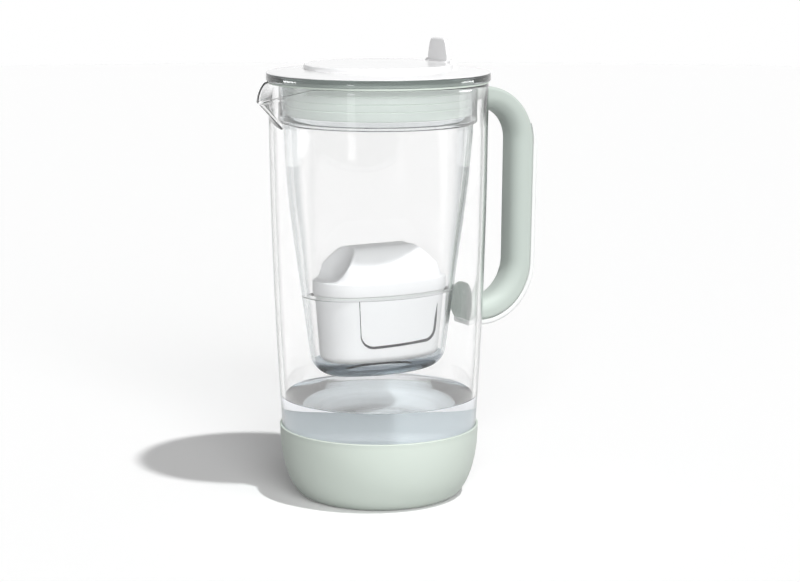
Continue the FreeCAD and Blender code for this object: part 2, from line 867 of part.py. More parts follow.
# Hinge lugs on the lid and the pin through them
hinge_offset = s.fill_radius + s.hinge_stand
tongue_under = lid_level + s.barrel_gap
hinge_level = tongue_under + s.barrel_radius
half_tab = s.tab_width * HALF_SHARE
lug_inside = half_tab + s.lug_gap
lug_outside = lug_inside + s.lug_width
lug_top = hinge_level + s.lug_length * HALF_SHARE
lug_back = hinge_offset - s.lug_length * HALF_SHARE
lug_front = hinge_offset + s.lug_length * HALF_SHARE


def across_slab(label, corners, inside, outside):
    """Slab across Y between two distances from the middle plane, on the -Y side."""
    return slab(label, corners, "XZ_Plane", outside - inside, inside)


lug_outline = [
    Corner(lug_back, lid_level - s.lid_thickness * HALF_SHARE),
    Corner(lug_front, lid_level - s.lid_thickness * HALF_SHARE),
    Corner(lug_front, lug_top, s.lug_length * LUG_ROUND_SHARE),
    Corner(lug_back, lug_top, s.lug_length * LUG_ROUND_SHARE),
]
near_lug = across_slab("near_lug", lug_outline, lug_inside, lug_outside)
far_lug = across_slab("far_lug", lug_outline, -lug_outside, -lug_inside)


def cross_pin(label, radius, half_length):
    """Round bar along Y on the hinge axis."""
    bar = doc.addObject("Part::Cylinder", label)
    bind(bar, "Radius", radius)
    bind(bar, "Height", half_length * DOUBLE_SHARE)
    bar.Placement = FreeCAD.Placement(
        FreeCAD.Vector(hinge_offset.number, half_length.number, hinge_level.number),
        FreeCAD.Rotation(FreeCAD.Vector(1, 0, 0), FULL_TURN / 4),
    )
    bind(bar, "Placement.Base.x", hinge_offset)
    bind(bar, "Placement.Base.y", half_length)
    bind(bar, "Placement.Base.z", hinge_level)
    return bar


lug_bore = cross_pin("lug_bore", s.pin_radius, lug_outside + s.overrun)
lid_top = cut("lid_top", joined("lid_with_lugs", [lid_disc, near_lug, far_lug]), lug_bore)
flap_hinge_pin = cross_pin("flap_hinge_pin", s.pin_radius, lug_outside)

# Fill flap: disc with a locating ring, hinge tongue, barrel and thumb tab
flap_top = lid_level + s.flap_thickness
plug_radius = s.fill_radius - s.plug_clearance
plug_under = lid_level - s.plug_depth
flap_disc = lathe(
    "flap_disc",
    [
        Corner(0, lid_level),
        Corner(plug_radius - s.plug_wall, lid_level),
        Corner(plug_radius - s.plug_wall, plug_under),
        Corner(plug_radius, plug_under),
        Corner(plug_radius, lid_level),
        Corner(flap_radius, lid_level),
        Corner(flap_radius, flap_top, s.flap_round),
        Corner(0, flap_top),
    ],
)
notch_edge = lug_back - s.notch_clearance
flap_notch = slab(
    "flap_notch",
    [
        Corner(notch_edge, -flap_radius),
        Corner(flange_radius, -flap_radius),
        Corner(flange_radius, flap_radius),
        Corner(notch_edge, flap_radius),
    ],
    "XY_Plane",
    s.flap_thickness + s.overrun * DOUBLE_SHARE,
    lid_level - s.overrun,
)
flap_tongue = slab(
    "flap_tongue",
    [
        Corner(notch_edge - s.overrun, tongue_under),
        Corner(hinge_offset, tongue_under),
        Corner(hinge_offset, flap_top),
        Corner(notch_edge - s.overrun, flap_top),
    ],
    "XZ_Plane",
    s.tab_width,
    midplane=True,
)
flap_barrel = cross_pin("flap_barrel", s.barrel_radius, half_tab)
tab_top = lid_level + s.tab_height
thumb_tab = slab(
    "thumb_tab",
    [
        Corner(-half_tab, hinge_level),
        Corner(half_tab, hinge_level),
        Corner(s.tab_top_width * HALF_SHARE, tab_top, s.tab_corner_round),
        Corner(-s.tab_top_width * HALF_SHARE, tab_top, s.tab_corner_round),
    ],
    "YZ_Plane",
    s.tab_thickness,
    hinge_offset - s.tab_thickness + s.barrel_radius * HALF_SHARE,
)
barrel_bore = cross_pin("barrel_bore", s.pin_radius + s.pin_clearance, half_tab + s.overrun)
flap_blank = cut("flap_blank", flap_disc, flap_notch)
fill_flap = cut(
    "fill_flap", joined("flap_with_tab", [flap_blank, flap_tongue, flap_barrel, thumb_tab]), barrel_bore
)

# The pieces that are written out, each under its own label
PIECES = [
    base_sleeve,
    glass_jug,
    handle_grip,
    handle_spine,
    handle_bond_pads,
    rim_gasket,
    hopper,
    cartridge_shell,
    cartridge_cap,
    cartridge_gasket,
    inlet_screen,
    outlet_screen,
    filter_granules,
    lid_top,
    lid_skirt,
    lid_seal,
    fill_flap,
    flap_hinge_pin,
]

doc.recompute()
for thing in doc.Objects:
    if "Invalid" in thing.State or "Error" in thing.State:
        raise RuntimeError(f"{thing.Label} failed: {thing.State}")
for piece in PIECES:
    if piece.Shape.isNull() or not piece.Shape.isValid():
        raise RuntimeError(f"{piece.Label} has no valid shape")

os.makedirs("parts", exist_ok=True)
for piece in PIECES:
    piece.Shape.exportStep(os.path.join("parts", f"{piece.Label}.step"))
    print(f"{piece.Label}: {len(piece.Shape.Solids)} solid(s), {piece.Shape.Volume:.0f} mm3")
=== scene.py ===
"""Looks of a glass water filter pitcher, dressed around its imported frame.

Sizes are millimetres in the frame of the part: Z is up, the handle points along +X and the
spout along -X. Meshes are scaled to metres when they become objects.
"""

import logging
import math
from dataclasses import dataclass, field
from enum import Enum
from typing import Iterable, NamedTuple, Sequence
import bmesh
import bpy
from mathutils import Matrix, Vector
from mathutils.bvhtree import BVHTree


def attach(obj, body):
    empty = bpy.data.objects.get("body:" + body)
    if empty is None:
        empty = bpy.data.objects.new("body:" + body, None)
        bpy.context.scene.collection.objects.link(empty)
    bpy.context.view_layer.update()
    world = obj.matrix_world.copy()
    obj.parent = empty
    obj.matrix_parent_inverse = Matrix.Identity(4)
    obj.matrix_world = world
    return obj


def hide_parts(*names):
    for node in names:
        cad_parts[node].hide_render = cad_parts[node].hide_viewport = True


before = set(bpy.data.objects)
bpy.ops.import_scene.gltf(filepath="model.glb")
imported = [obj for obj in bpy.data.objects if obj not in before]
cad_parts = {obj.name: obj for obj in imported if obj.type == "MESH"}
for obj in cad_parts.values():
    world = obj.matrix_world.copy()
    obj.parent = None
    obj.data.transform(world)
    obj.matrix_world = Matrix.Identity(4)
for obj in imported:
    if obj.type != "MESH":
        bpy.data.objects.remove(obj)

MM = 0.001
TURN = 2 * math.pi

Flat = tuple[float, float]
Point = tuple[float, float, float]
Rgb = tuple[float, float, float]
Socket = bpy.types.NodeSocket

WHITE: Rgb = (1.0, 1.0, 1.0)
SHADE: Rgb = (0.02, 0.02, 0.02)
FAINT: Rgb = (0.015, 0.015, 0.015)

log = logging.getLogger("pitcher")


class Corner(NamedTuple):
    """A corner of an outline and the radius that rounds it."""

    across: float
    up: float
    round: float = 0.0


class Body(Enum):
    """Moving bodies of the frame that pieces ride on."""

    JUG = "jug"
    HOPPER = "hopper"
    CARTRIDGE = "cartridge"
    LID = "lid"
    FLAP = "flap"


class Slot(Enum):
    """Material slots of the record."""

    MINT_SILICONE = "mint_silicone"
    CLEAR_GLASS = "clear_glass"
    SAGE_GRIP = "sage_grip"
    CLEAR_RAIL = "clear_rail"
    CLEAR_ADHESIVE = "clear_adhesive"
    CLEAR_PLASTIC = "clear_plastic"
    CARTRIDGE_WHITE = "cartridge_white"
    LID_WHITE = "lid_white"
    SAGE_PLASTIC = "sage_plastic"
    SAGE_SILICONE = "sage_silicone"


# Outlines and meshes


def steps_between(first: float, last: float, count: int) -> list[float]:
    """Evenly spaced values from first to last, both included."""
    return [first + (last - first) * n / count for n in range(count + 1)]


def run_to(start: Flat, end: Flat, count: int) -> list[Flat]:
    """Evenly spaced points after the start, up to the end."""
    return list(zip(*(steps_between(a, b, count)[1:] for a, b in zip(start, end))))


def arc(middle: Flat, radius: float, first: float, sweep: float, steps: int) -> list[Flat]:
    """Points of an arc, counted from +X, with both its ends."""
    angles = steps_between(first, first + sweep, steps)
    return [(middle[0] + radius * math.cos(a), middle[1] + radius * math.sin(a)) for a in angles]


def filleted(corners: Sequence[Corner], closed: bool = False, steps: int = 6) -> list[Flat]:
    """Points of an outline with its corners rounded.

    Args:
        corners: Corners in their order.
        closed: Whether the last corner joins the first.
        steps: Chords in each round.

    Returns:
        Points along the outline.
    """
    points: list[Flat] = []
    last = len(corners) - 1
    for n, corner in enumerate(corners):
        if corner.round <= 0 or (not closed and n in (0, last)):
            points.append((corner.across, corner.up))
            continue
        here = Vector(corner[:2])
        back = (Vector(corners[n - 1][:2]) - here).normalized()
        ahead = (Vector(corners[(n + 1) % len(corners)][:2]) - here).normalized()
        half = back.angle(ahead) / 2
        reach = corner.round / math.tan(half)
        middle = here + (back + ahead).normalized() * (corner.round / math.sin(half))
        start, end = here + back * reach - middle, here + ahead * reach - middle
        first = math.atan2(start.y, start.x)
        sweep = (math.atan2(end.y, end.x) - first + math.pi) % TURN - math.pi
        points += arc(tuple(middle), corner.round, first, sweep, steps)
    return points


def eased(knots: Sequence[Flat], at: float) -> float:
    """Value of a smooth curve through knots.

    Args:
        knots: Places and values, with the places rising.
        at: Place to read.

    Returns:
        The value there, on cubic spans whose slopes follow their neighbours.
    """
    last = len(knots) - 1
    slopes = []
    for n in range(last + 1):
        low, high = knots[max(n - 1, 0)], knots[min(n + 1, last)]
        slopes.append((high[1] - low[1]) / (high[0] - low[0]))
    n = 0
    while n < last - 1 and at > knots[n + 1][0]:
        n += 1
    (x0, y0), (x1, y1) = knots[n], knots[n + 1]
    span = x1 - x0
    t = (at - x0) / span
    return (
        y0 * (1 + 2 * t) * (1 - t) ** 2
        + slopes[n] * span * t * (1 - t) ** 2
        + y1 * t * t * (3 - 2 * t)
        + slopes[n + 1] * span * t * t * (t - 1)
    )


def soft_step(at: float, low: float = 0.0, high: float = 1.0) -> float:
    """Smooth rise from 0 to 1 between two places."""
    share = min(max((at - low) / (high - low), 0.0), 1.0)
    return share * share * (3 - 2 * share)


def soft_min(first: float, second: float, blend: float) -> float:
    """Lesser of two values, with the crease between them rounded over a blend."""
    near = max(blend - abs(first - second), 0.0) / blend
    return min(first, second) - near * near * blend / 4


def tuck(radius: float, past: float) -> float:
    """How far a round has drawn in, at a distance past its start."""
    past = min(max(past, 0.0), radius)
    return radius - math.sqrt(radius**2 - past**2)


def quarter(radius: float, steps: int) -> list[Flat]:
    """Insets and drops along a rounded edge, from the top down."""
    angles = steps_between(0, math.pi / 2, steps)
    return [(radius * (1 - math.sin(a)), radius * (1 - math.cos(a))) for a in angles]


class Skin:
    """Points and faces of one mesh, gathered ring by ring."""

    def __init__(self) -> None:
        """Start with nothing."""
        self.points: list[Point] = []
        self.faces: list[tuple[int, ...]] = []
        self.finishes: list[int] = []
        self.rings: list[list[int]] = []

    def ring(self, points: Iterable[Point], finish: int = 0) -> None:
        """Add a ring and close the band to the one before it.

        Args:
            points: Points of the ring, or the one point that a band runs to.
            finish: Which of the piece's finishes the band takes.
        """
        start = len(self.points)
        self.points.extend(points)
        self.rings.append(list(range(start, len(self.points))))
        if len(self.rings) > 1:
            self.band(self.rings[-2], self.rings[-1], finish)

    def band(self, low: list[int], high: list[int], finish: int = 0) -> None:
        """Close the band between two rings.

        Args:
            low: Numbers of one ring, or of one point.
            high: Numbers of the other.
            finish: Which of the piece's finishes the band takes.
        """
        count = max(len(low), len(high))
        for n in range(count):
            m = (n + 1) % count
            face = (low[n % len(low)], low[m % len(low)], high[m % len(high)], high[n % len(high)])
            self.faces.append(tuple(dict.fromkeys(face)))
            self.finishes.append(finish)

    def close(self, finish: int = 0) -> None:
        """Join the last ring to the first, ready for another shell."""
        self.band(self.rings[-1], self.rings[0], finish)
        self.rings = []

    def middle(self, ring: list[int]) -> Vector:
        """Mean of a ring's points."""
        return sum((Vector(self.points[k]) for k in ring), Vector()) / len(ring)

    def fan(self, ring: list[int], tip: Iterable[float]) -> None:
        """Close a ring with a fan to a tip."""
        self.points.append(tuple(tip))
        self.band(ring, [len(self.points) - 1])

    def cap(self) -> None:
        """Close the first and last ring, ready for another shell."""
        for ring in (self.rings[0], self.rings[-1]):
            self.fan(ring, self.middle(ring))
        self.rings = []

    def bar(self, outline: Sequence[Flat], sides: Flat) -> None:
        """Add a closed bar across Y.

        Args:
            outline: Its section in X and Z.
            sides: Where it starts and ends.
        """
        for y in sides:
            self.ring([(x, y, z) for x, z in outline])
        self.cap()

    def to_piece(self, name: str, sharp_deg: float = 40.0) -> bpy.types.Object:
        """Make the object, with its faces turned outwards and smooth up to an angle.

        Args:
            name: Name of the piece.
            sharp_deg: Angle above which an edge stays sharp.

        Returns:
            The new object.
        """
        mesh = bpy.data.meshes.new(name)
        mesh.from_pydata([tuple(c * MM for c in p) for p in self.points], [], self.faces)
        mesh.polygons.foreach_set("material_index", self.finishes)
        work = bmesh.new()
        work.from_mesh(mesh)
        bmesh.ops.recalc_face_normals(work, faces=work.faces)
        work.to_mesh(mesh)
        work.free()
        mesh.shade_smooth()
        mesh.set_sharp_from_angle(angle=math.radians(sharp_deg))
        piece = bpy.data.objects.new(name, mesh)
        bpy.context.scene.collection.objects.link(piece)
        return piece


def circle(radius: float, height: float, count: int) -> list[Point]:
    """Level circle about the jug's axis, or one point on it where the radius is nought."""
    ends = arc((0.0, 0.0), radius, 0.0, TURN, count)[:-1]
    return [(x, y, height) for x, y in (ends if radius > MM else [(0.0, 0.0)])]


def turned(name: str, outline: Sequence[Flat], count: int = 192, sharp_deg: float = 40.0) -> bpy.types.Object:
    """Piece turned about Z.

    Args:
        name: Name of the piece.
        outline: Radii and heights; from axis to axis, or else a closed ring.
        count: Points round the axis.
        sharp_deg: Angle above which an edge stays sharp.

    Returns:
        The new object.
    """
    skin = Skin()
    for radius, height in outline:
        skin.ring(circle(radius, height, count))
    if outline[0][0] > MM:
        skin.close()
    return skin.to_piece(name, sharp_deg)


@dataclass(frozen=True)
class Oval:
    """Level oval of four arcs, two round ends and two flat flanks."""

    half_length: float
    half_width: float
    lean: float = 0.268

    def inset(self, wall: float) -> "Oval":
        """The oval drawn in by a wall."""
        return Oval(self.half_length - wall, self.half_width - wall, self.lean)

    def towards(self, other: "Oval", share: float) -> "Oval":
        """The oval part of the way to another."""
        halves = ((self.half_length, other.half_length), (self.half_width, other.half_width))
        return Oval(*(a + (b - a) * share for a, b in halves), self.lean)

    def reach(self, angle: float) -> float:
        """Distance from the middle to the oval.

        Args:
            angle: Direction from +X.

        Returns:
            The distance in that direction.
        """
        s, c = abs(math.sin(angle)), abs(math.cos(angle))
        tip = (self.half_width - self.half_length * self.lean) / (1 - self.lean)
        centre = self.half_length - tip
        stretch = 1 + self.lean**2
        flank = tip + centre * stretch / (2 * self.lean)
        across = centre + tip * 2 * self.lean / stretch
        up = tip * (1 - self.lean**2) / stretch
        if math.atan2(s, c) <= math.atan2(up, across):
            return centre * c + math.sqrt(tip * tip - (centre * s) ** 2)
        drop = flank - self.half_width
        return math.sqrt(flank * flank - (drop * c) ** 2) - drop * s

    def loop(self, height: float, count: int) -> list[Point]:
        """Points of the oval at a height."""
        polar = [(self.reach(a), a) for a in steps_between(0, TURN, count)[:-1]]
        return [(reach * math.cos(a), reach * math.sin(a), height) for reach, a in polar]


# Shader helpers


def solid(colour: Iterable[float]) -> tuple[float, ...]:
    """Colour with full alpha."""
    return (*colour, 1.0)


class Nodes:
    """A node tree with short ways to add and join nodes."""

    def __init__(self, tree: bpy.types.NodeTree) -> None:
        """Hold a tree."""
        self.tree = tree

    def add(self, kind: str, values: dict[str, object] | None = None, **settings: object) -> bpy.types.Node:
        """Add a node.

        Args:
            kind: Node type without its ShaderNode prefix.
            values: Socket values by name.
            **settings: Properties of the node.

        Returns:
            The node.
        """
        node = self.tree.nodes.new(f"ShaderNode{kind}")
        for name, value in settings.items():
            setattr(node, name, value)
        for name, value in (values or {}).items():
            node.inputs[name].default_value = value
        return node

    def feed(self, node: bpy.types.Node, sources: dict[str | int, Socket]) -> bpy.types.Node:
        """Join sources to a node's sockets, by name or place.

        Args:
            node: Node that takes them.
            sources: Outputs of other nodes.

        Returns:
            The node.
        """
        for key, source in sources.items():
            self.tree.links.new(source, node.inputs[key])
        return node

    def place(self) -> Socket:
        """Place on the object."""
        return self.add("TexCoord").outputs["Object"]

    def math(self, operation: str, first: Socket, second: Socket | float) -> Socket:
        """Add a sum and give its output.

        Args:
            operation: Kind of sum.
            first: Its first value.
            second: Its second value.

        Returns:
            The result.
        """
        node = self.feed(self.add("Math", operation=operation), {0: first})
        if isinstance(second, float):
            node.inputs[1].default_value = second
        else:
            self.feed(node, {1: second})
        return node.outputs[0]

    def bump(self, height: Socket, strength: float, distance: float, invert: bool = False) -> Socket:
        """Add a bump from a height and give its normal."""
        node = self.add("Bump", {"Strength": strength, "Distance": distance * MM}, invert=invert)
        return self.feed(node, {"Height": height}).outputs["Normal"]

    def ramp(self, at: Socket, stops: Sequence[tuple[float, Rgb]], blend: str = "LINEAR") -> Socket:
        """Add a ramp between two colours.

        Args:
            at: Value to look up.
            stops: Places and colours of its ends.
            blend: Way the colours blend.

        Returns:
            The colour there.
        """
        node = self.feed(self.add("ValToRGB"), {"Fac": at})
        node.color_ramp.interpolation = blend
        for end, (position, colour) in zip(node.color_ramp.elements, stops):
            end.position = position
            end.color = solid(colour)
        return node.outputs["Color"]

    def mix(self, share: Socket, first: Socket, second: Socket) -> Socket:
        """Mix two shaders and give the result."""
        return self.feed(self.add("MixShader"), {0: share, 1: first, 2: second}).outputs[0]

    def seen(self, path: bpy.types.Node) -> Socket:
        """Whether a ray comes from the camera, a reflection or a clear piece."""
        direct = self.math("MAXIMUM", path.outputs["Is Camera Ray"], path.outputs["Is Glossy Ray"])
        return self.math("MAXIMUM", direct, path.outputs["Is Transmission Ray"])


class Groups:
    """The shader groups that several finishes share, each made once."""

    def __init__(self) -> None:
        """Make the groups."""
        self.grain = self.moulded_grain()
        self.ripple = self.drawn_ripple()

    @staticmethod
    def start(
        name: str, inputs: dict[str, object], outputs: dict[str, str]
    ) -> tuple[Nodes, Sequence[Socket], bpy.types.Node]:
        """Start a shader node group.

        Args:
            name: Name of the group.
            inputs: Default values by name, a colour or a number.
            outputs: Socket kinds by name.

        Returns:
            The group's nodes, its input sockets and its output node.
        """
        tree = bpy.data.node_groups.new(name, "ShaderNodeTree")
        for label, value in inputs.items():
            kind = "Color" if isinstance(value, tuple) else "Float"
            socket = tree.interface.new_socket(label, in_out="INPUT", socket_type=f"NodeSocket{kind}")
            socket.default_value = value
        for label, kind in outputs.items():
            tree.interface.new_socket(label, in_out="OUTPUT", socket_type=f"NodeSocket{kind}")
        source, sink = tree.nodes.new("NodeGroupInput"), tree.nodes.new("NodeGroupOutput")
        return Nodes(tree), source.outputs, sink

    def moulded_grain(self) -> bpy.types.NodeTree:
        """Group for moulded surfaces: cloudy colour, uneven gloss and fine spark-eroded grain.

        Returns:
            The node group.
        """
        nodes, given, sink = self.start(
            "moulded_grain",
            {
                "Colour": (0.8, 0.8, 0.8, 1.0),
                "Shade Colour": (0.7, 0.7, 0.7, 1.0),
                "Cloud Scale": 22.0,
                "Gloss Low": 0.3,
                "Gloss High": 0.4,
            },
            {"Colour": "Color", "Roughness": "Float", "Height": "Float"},
        )
        place = nodes.place()
        cloud = nodes.add("TexNoise", {"Detail": 3.0, "Roughness": 0.6})
        cloudy = nodes.feed(cloud, {"Vector": place, "Scale": given["Cloud Scale"]}).outputs["Fac"]
        grain = nodes.feed(nodes.add("TexNoise", {"Detail": 2.0, "Scale": 900.0}), {"Vector": place})
        blend = nodes.add("Mix", data_type="RGBA")
        nodes.feed(blend, {"Factor": cloudy, "A": given["Colour"], "B": given["Shade Colour"]})
        gloss = nodes.add("MapRange")
        nodes.feed(gloss, {"Value": cloudy, "To Min": given["Gloss Low"], "To Max": given["Gloss High"]})
        made = {"Colour": blend.outputs["Result"], "Roughness": gloss.outputs["Result"]}
        nodes.feed(sink, {**made, "Height": grain.outputs["Fac"]})
        return nodes.tree

    def drawn_ripple(self) -> bpy.types.NodeTree:
        """Group for clear pieces: the long faint waves of blown glass and polished mouldings.

        Returns:
            The node group.
        """
        nodes, given, sink = self.start("drawn_ripple", {"Scale": 14.0, "Stretch": 0.2}, {"Height": "Float"})
        stretch = nodes.feed(nodes.add("CombineXYZ", {"X": 1.0, "Y": 1.0}), {"Z": given["Stretch"]})
        scaled = nodes.add("VectorMath", operation="MULTIPLY")
        nodes.feed(scaled, {0: nodes.place(), 1: stretch.outputs["Vector"]})
        wave = nodes.add("TexNoise", {"Detail": 1.0})
        nodes.feed(wave, {"Vector": scaled.outputs["Vector"], "Scale": given["Scale"]})
        nodes.feed(sink, {"Height": wave.outputs["Fac"]})
        return nodes.tree


# Finishes


@dataclass(frozen=True)
class Finish:
    """A named finish."""

    name: str

    def surface(self, nodes: Nodes, groups: Groups) -> Socket:
        """Wire the finish in an empty tree and give its shader, in each kind's own way."""
        raise NotImplementedError

    def material(self, groups: Groups) -> bpy.types.Material:
        """Build the material.

        Args:
            groups: Shared shader groups.

        Returns:
            The material.
        """
        material = bpy.data.materials.new(self.name)
        material.use_nodes = True
        material.node_tree.nodes.clear()
        nodes = Nodes(material.node_tree)
        nodes.feed(nodes.add("OutputMaterial"), {"Surface": self.surface(nodes, groups)})
        return material


@dataclass(frozen=True)
class MouldedFinish(Finish):
    """Opaque moulded plastic or silicone."""

    colour: Rgb
    gloss: Flat
    grain: float = 0.05
    shade: Rgb = SHADE
    sheen: float = 0.0
    coat: float = 0.0
    shine: float = 0.5
    grain_depth: float = 0.2

    def surface(self, nodes: Nodes, groups: Groups) -> Socket:
        """Wire a plain shader to the moulded grain.

        Args:
            nodes: Tree of the material.
            groups: Shared shader groups.

        Returns:
            The shader.
        """
        weights = {"Sheen Weight": self.sheen, "Coat Weight": self.coat, "Specular IOR Level": self.shine}
        shader = nodes.add("BsdfPrincipled", weights)
        values = {
            "Colour": solid(self.colour),
            "Shade Colour": solid(c - s for c, s in zip(self.colour, self.shade)),
            "Gloss Low": self.gloss[0],
            "Gloss High": self.gloss[1],
        }
        group = nodes.add("Group", values, node_tree=groups.grain).outputs
        normal = nodes.bump(group["Height"], self.grain, self.grain_depth)
        made = {"Base Color": group["Colour"], "Roughness": group["Roughness"], "Normal": normal}
        return nodes.feed(shader, made).outputs["BSDF"]


@dataclass(frozen=True)
class ClearFinish(Finish):
    """Glass, clear plastic or water, with painted shade that darkens it where it is seen edge on."""

    ior: float
    edge: Rgb
    face: Rgb = WHITE
    edge_from: float = 0.6
    edge_full: float = 1.0
    through: Rgb = (0.985, 0.99, 0.99)
    ripple_scale: float = 14.0
    ripple: float = 0.02
    ripple_depth: float = 1.0
    stretch: float = 0.2

    def surface(self, nodes: Nodes, groups: Groups) -> Socket:
        """Wire a clear shader that lets light through to what stands behind it.

        Args:
            nodes: Tree of the material.
            groups: Shared shader groups.

        Returns:
            The shader.
        """
        values = {"Transmission Weight": 1.0, "IOR": self.ior, "Roughness": 0.0}
        shader = nodes.add("BsdfPrincipled", values)
        # Painted shade: the ramp turns the face colour into the darker edge colour where the surface is seen
        # edge on.
        facing = nodes.add("LayerWeight", {"Blend": 0.5}).outputs["Facing"]
        tint = nodes.ramp(facing, ((self.edge_from, self.face), (self.edge_full, self.edge)), "EASE")
        values = {"Scale": self.ripple_scale, "Stretch": self.stretch}
        waves = nodes.add("Group", values, node_tree=groups.ripple).outputs["Height"]
        normal = nodes.bump(waves, self.ripple, self.ripple_depth)
        surface = nodes.feed(shader, {"Base Color": tint, "Normal": normal}).outputs["BSDF"]
        clear = nodes.add("BsdfTransparent", {"Color": solid(self.through)}).outputs["BSDF"]
        path = nodes.add("LightPath")
        for ray in ("Is Shadow Ray", "Is Diffuse Ray"):
            surface = nodes.mix(path.outputs[ray], surface, clear)
        return surface


@dataclass(frozen=True)
class WovenFinish(Finish):
    """Fine plain-woven mesh."""

    thread: Rgb
    gap: Rgb
    pitch: float = 0.6
    relief: Flat = (0.5, 0.2)

    def surface(self, nodes: Nodes, groups: Groups) -> Socket:
        """Wire two crossed sets of threads.

        Args:
            nodes: Tree of the material.
            groups: Shared shader groups.

        Returns:
            The shader.
        """
        place, rows = nodes.place(), []
        for axis in ("X", "Y"):
            scale = {"Scale": 1 / (self.pitch * MM) / TURN}
            wave = nodes.add("TexWave", scale, wave_type="BANDS", bands_direction=axis)
            rows.append(nodes.feed(wave, {"Vector": place}).outputs["Fac"])
        weave = nodes.math("MAXIMUM", *rows)
        values = {"Colour": solid(self.thread), "Shade Colour": solid(self.thread)}
        grain = nodes.add("Group", values, node_tree=groups.grain).outputs["Colour"]
        blend = nodes.add("Mix", {"A": solid(self.gap)}, data_type="RGBA")
        tint = nodes.feed(blend, {"Factor": weave, "B": grain}).outputs["Result"]
        shader = nodes.add("BsdfPrincipled", {"Roughness": 0.6})
        made = {"Base Color": tint, "Normal": nodes.bump(weave, *self.relief)}
        return nodes.feed(shader, made).outputs["BSDF"]


@dataclass(frozen=True)
class GrainsFinish(Finish):
    """Packed bed of dark carbon and pale resin grains."""

    dark: Rgb
    pale: Rgb
    size: float = 0.9
    split: Flat = (0.35, 0.6)
    relief: Flat = (0.8, 0.4)

    def surface(self, nodes: Nodes, groups: Groups) -> Socket:
        """Wire a bed of cells.

        Args:
            nodes: Tree of the material.
            groups: Shared shader groups, not used here.

        Returns:
            The shader.
        """
        cells = nodes.add("TexVoronoi", {"Scale": 1 / (self.size * MM)})
        made = nodes.feed(cells, {"Vector": nodes.place()}).outputs
        tint = nodes.ramp(made["Color"], tuple(zip(self.split, (self.dark, self.pale))))
        normal = nodes.bump(made["Distance"], *self.relief, invert=True)
        shader = nodes.add("BsdfPrincipled", {"Roughness": 0.7})
        return nodes.feed(shader, {"Base Color": tint, "Normal": normal}).outputs["BSDF"]


@dataclass(frozen=True)
class DrawnSteel(Finish):
    """Stainless wire with fine lines along its length."""

    colour: Rgb
    shade_share: float = 0.8
    relief: Flat = (0.1, 0.05)

    def surface(self, nodes: Nodes, groups: Groups) -> Socket:
        """Wire bright metal with drawn lines.

        Args:
            nodes: Tree of the material.
            groups: Shared shader groups.

        Returns:
            The shader.
        """
        values = {
            "Colour": solid(self.colour),
            "Shade Colour": solid(c * self.shade_share for c in self.colour),
            "Gloss Low": 0.2,
            "Gloss High": 0.4,
            "Cloud Scale": 300.0,
        }
        grain = nodes.add("Group", values, node_tree=groups.grain).outputs
        lines = nodes.add("Group", {"Scale": 2500.0}, node_tree=groups.ripple).outputs["Height"]
        shader = nodes.add("BsdfPrincipled", {"Metallic": 1.0})
        made = {"Base Color": grain["Colour"], "Roughness": grain["Roughness"]}
        return nodes.feed(shader, {**made, "Normal": nodes.bump(lines, *self.relief)}).outputs["BSDF"]


@dataclass(frozen=True)
class FloorFinish(Finish):
    """Matt floor that is seen as white paper and sends little light back up."""

    colour: Rgb
    lift: float
    bounce: Rgb

    def surface(self, nodes: Nodes, groups: Groups) -> Socket:
        """Wire the floor as it is seen and as it lights the jug.

        Args:
            nodes: Tree of the material.
            groups: Shared shader groups.

        Returns:
            The shader.
        """
        values = {"Colour": solid(self.colour), "Shade Colour": solid(self.colour)}
        grain = nodes.add("Group", values, node_tree=groups.grain).outputs["Colour"]
        paper = nodes.feed(nodes.add("BsdfDiffuse"), {"Color": grain}).outputs["BSDF"]
        lift = nodes.add("Emission", {"Color": solid(WHITE), "Strength": self.lift}).outputs["Emission"]
        white = nodes.feed(nodes.add("AddShader"), {0: paper, 1: lift}).outputs["Shader"]
        bounce = nodes.add("BsdfDiffuse", {"Color": solid(self.bounce)}).outputs["BSDF"]
        return nodes.mix(nodes.seen(nodes.add("LightPath")), bounce, white)


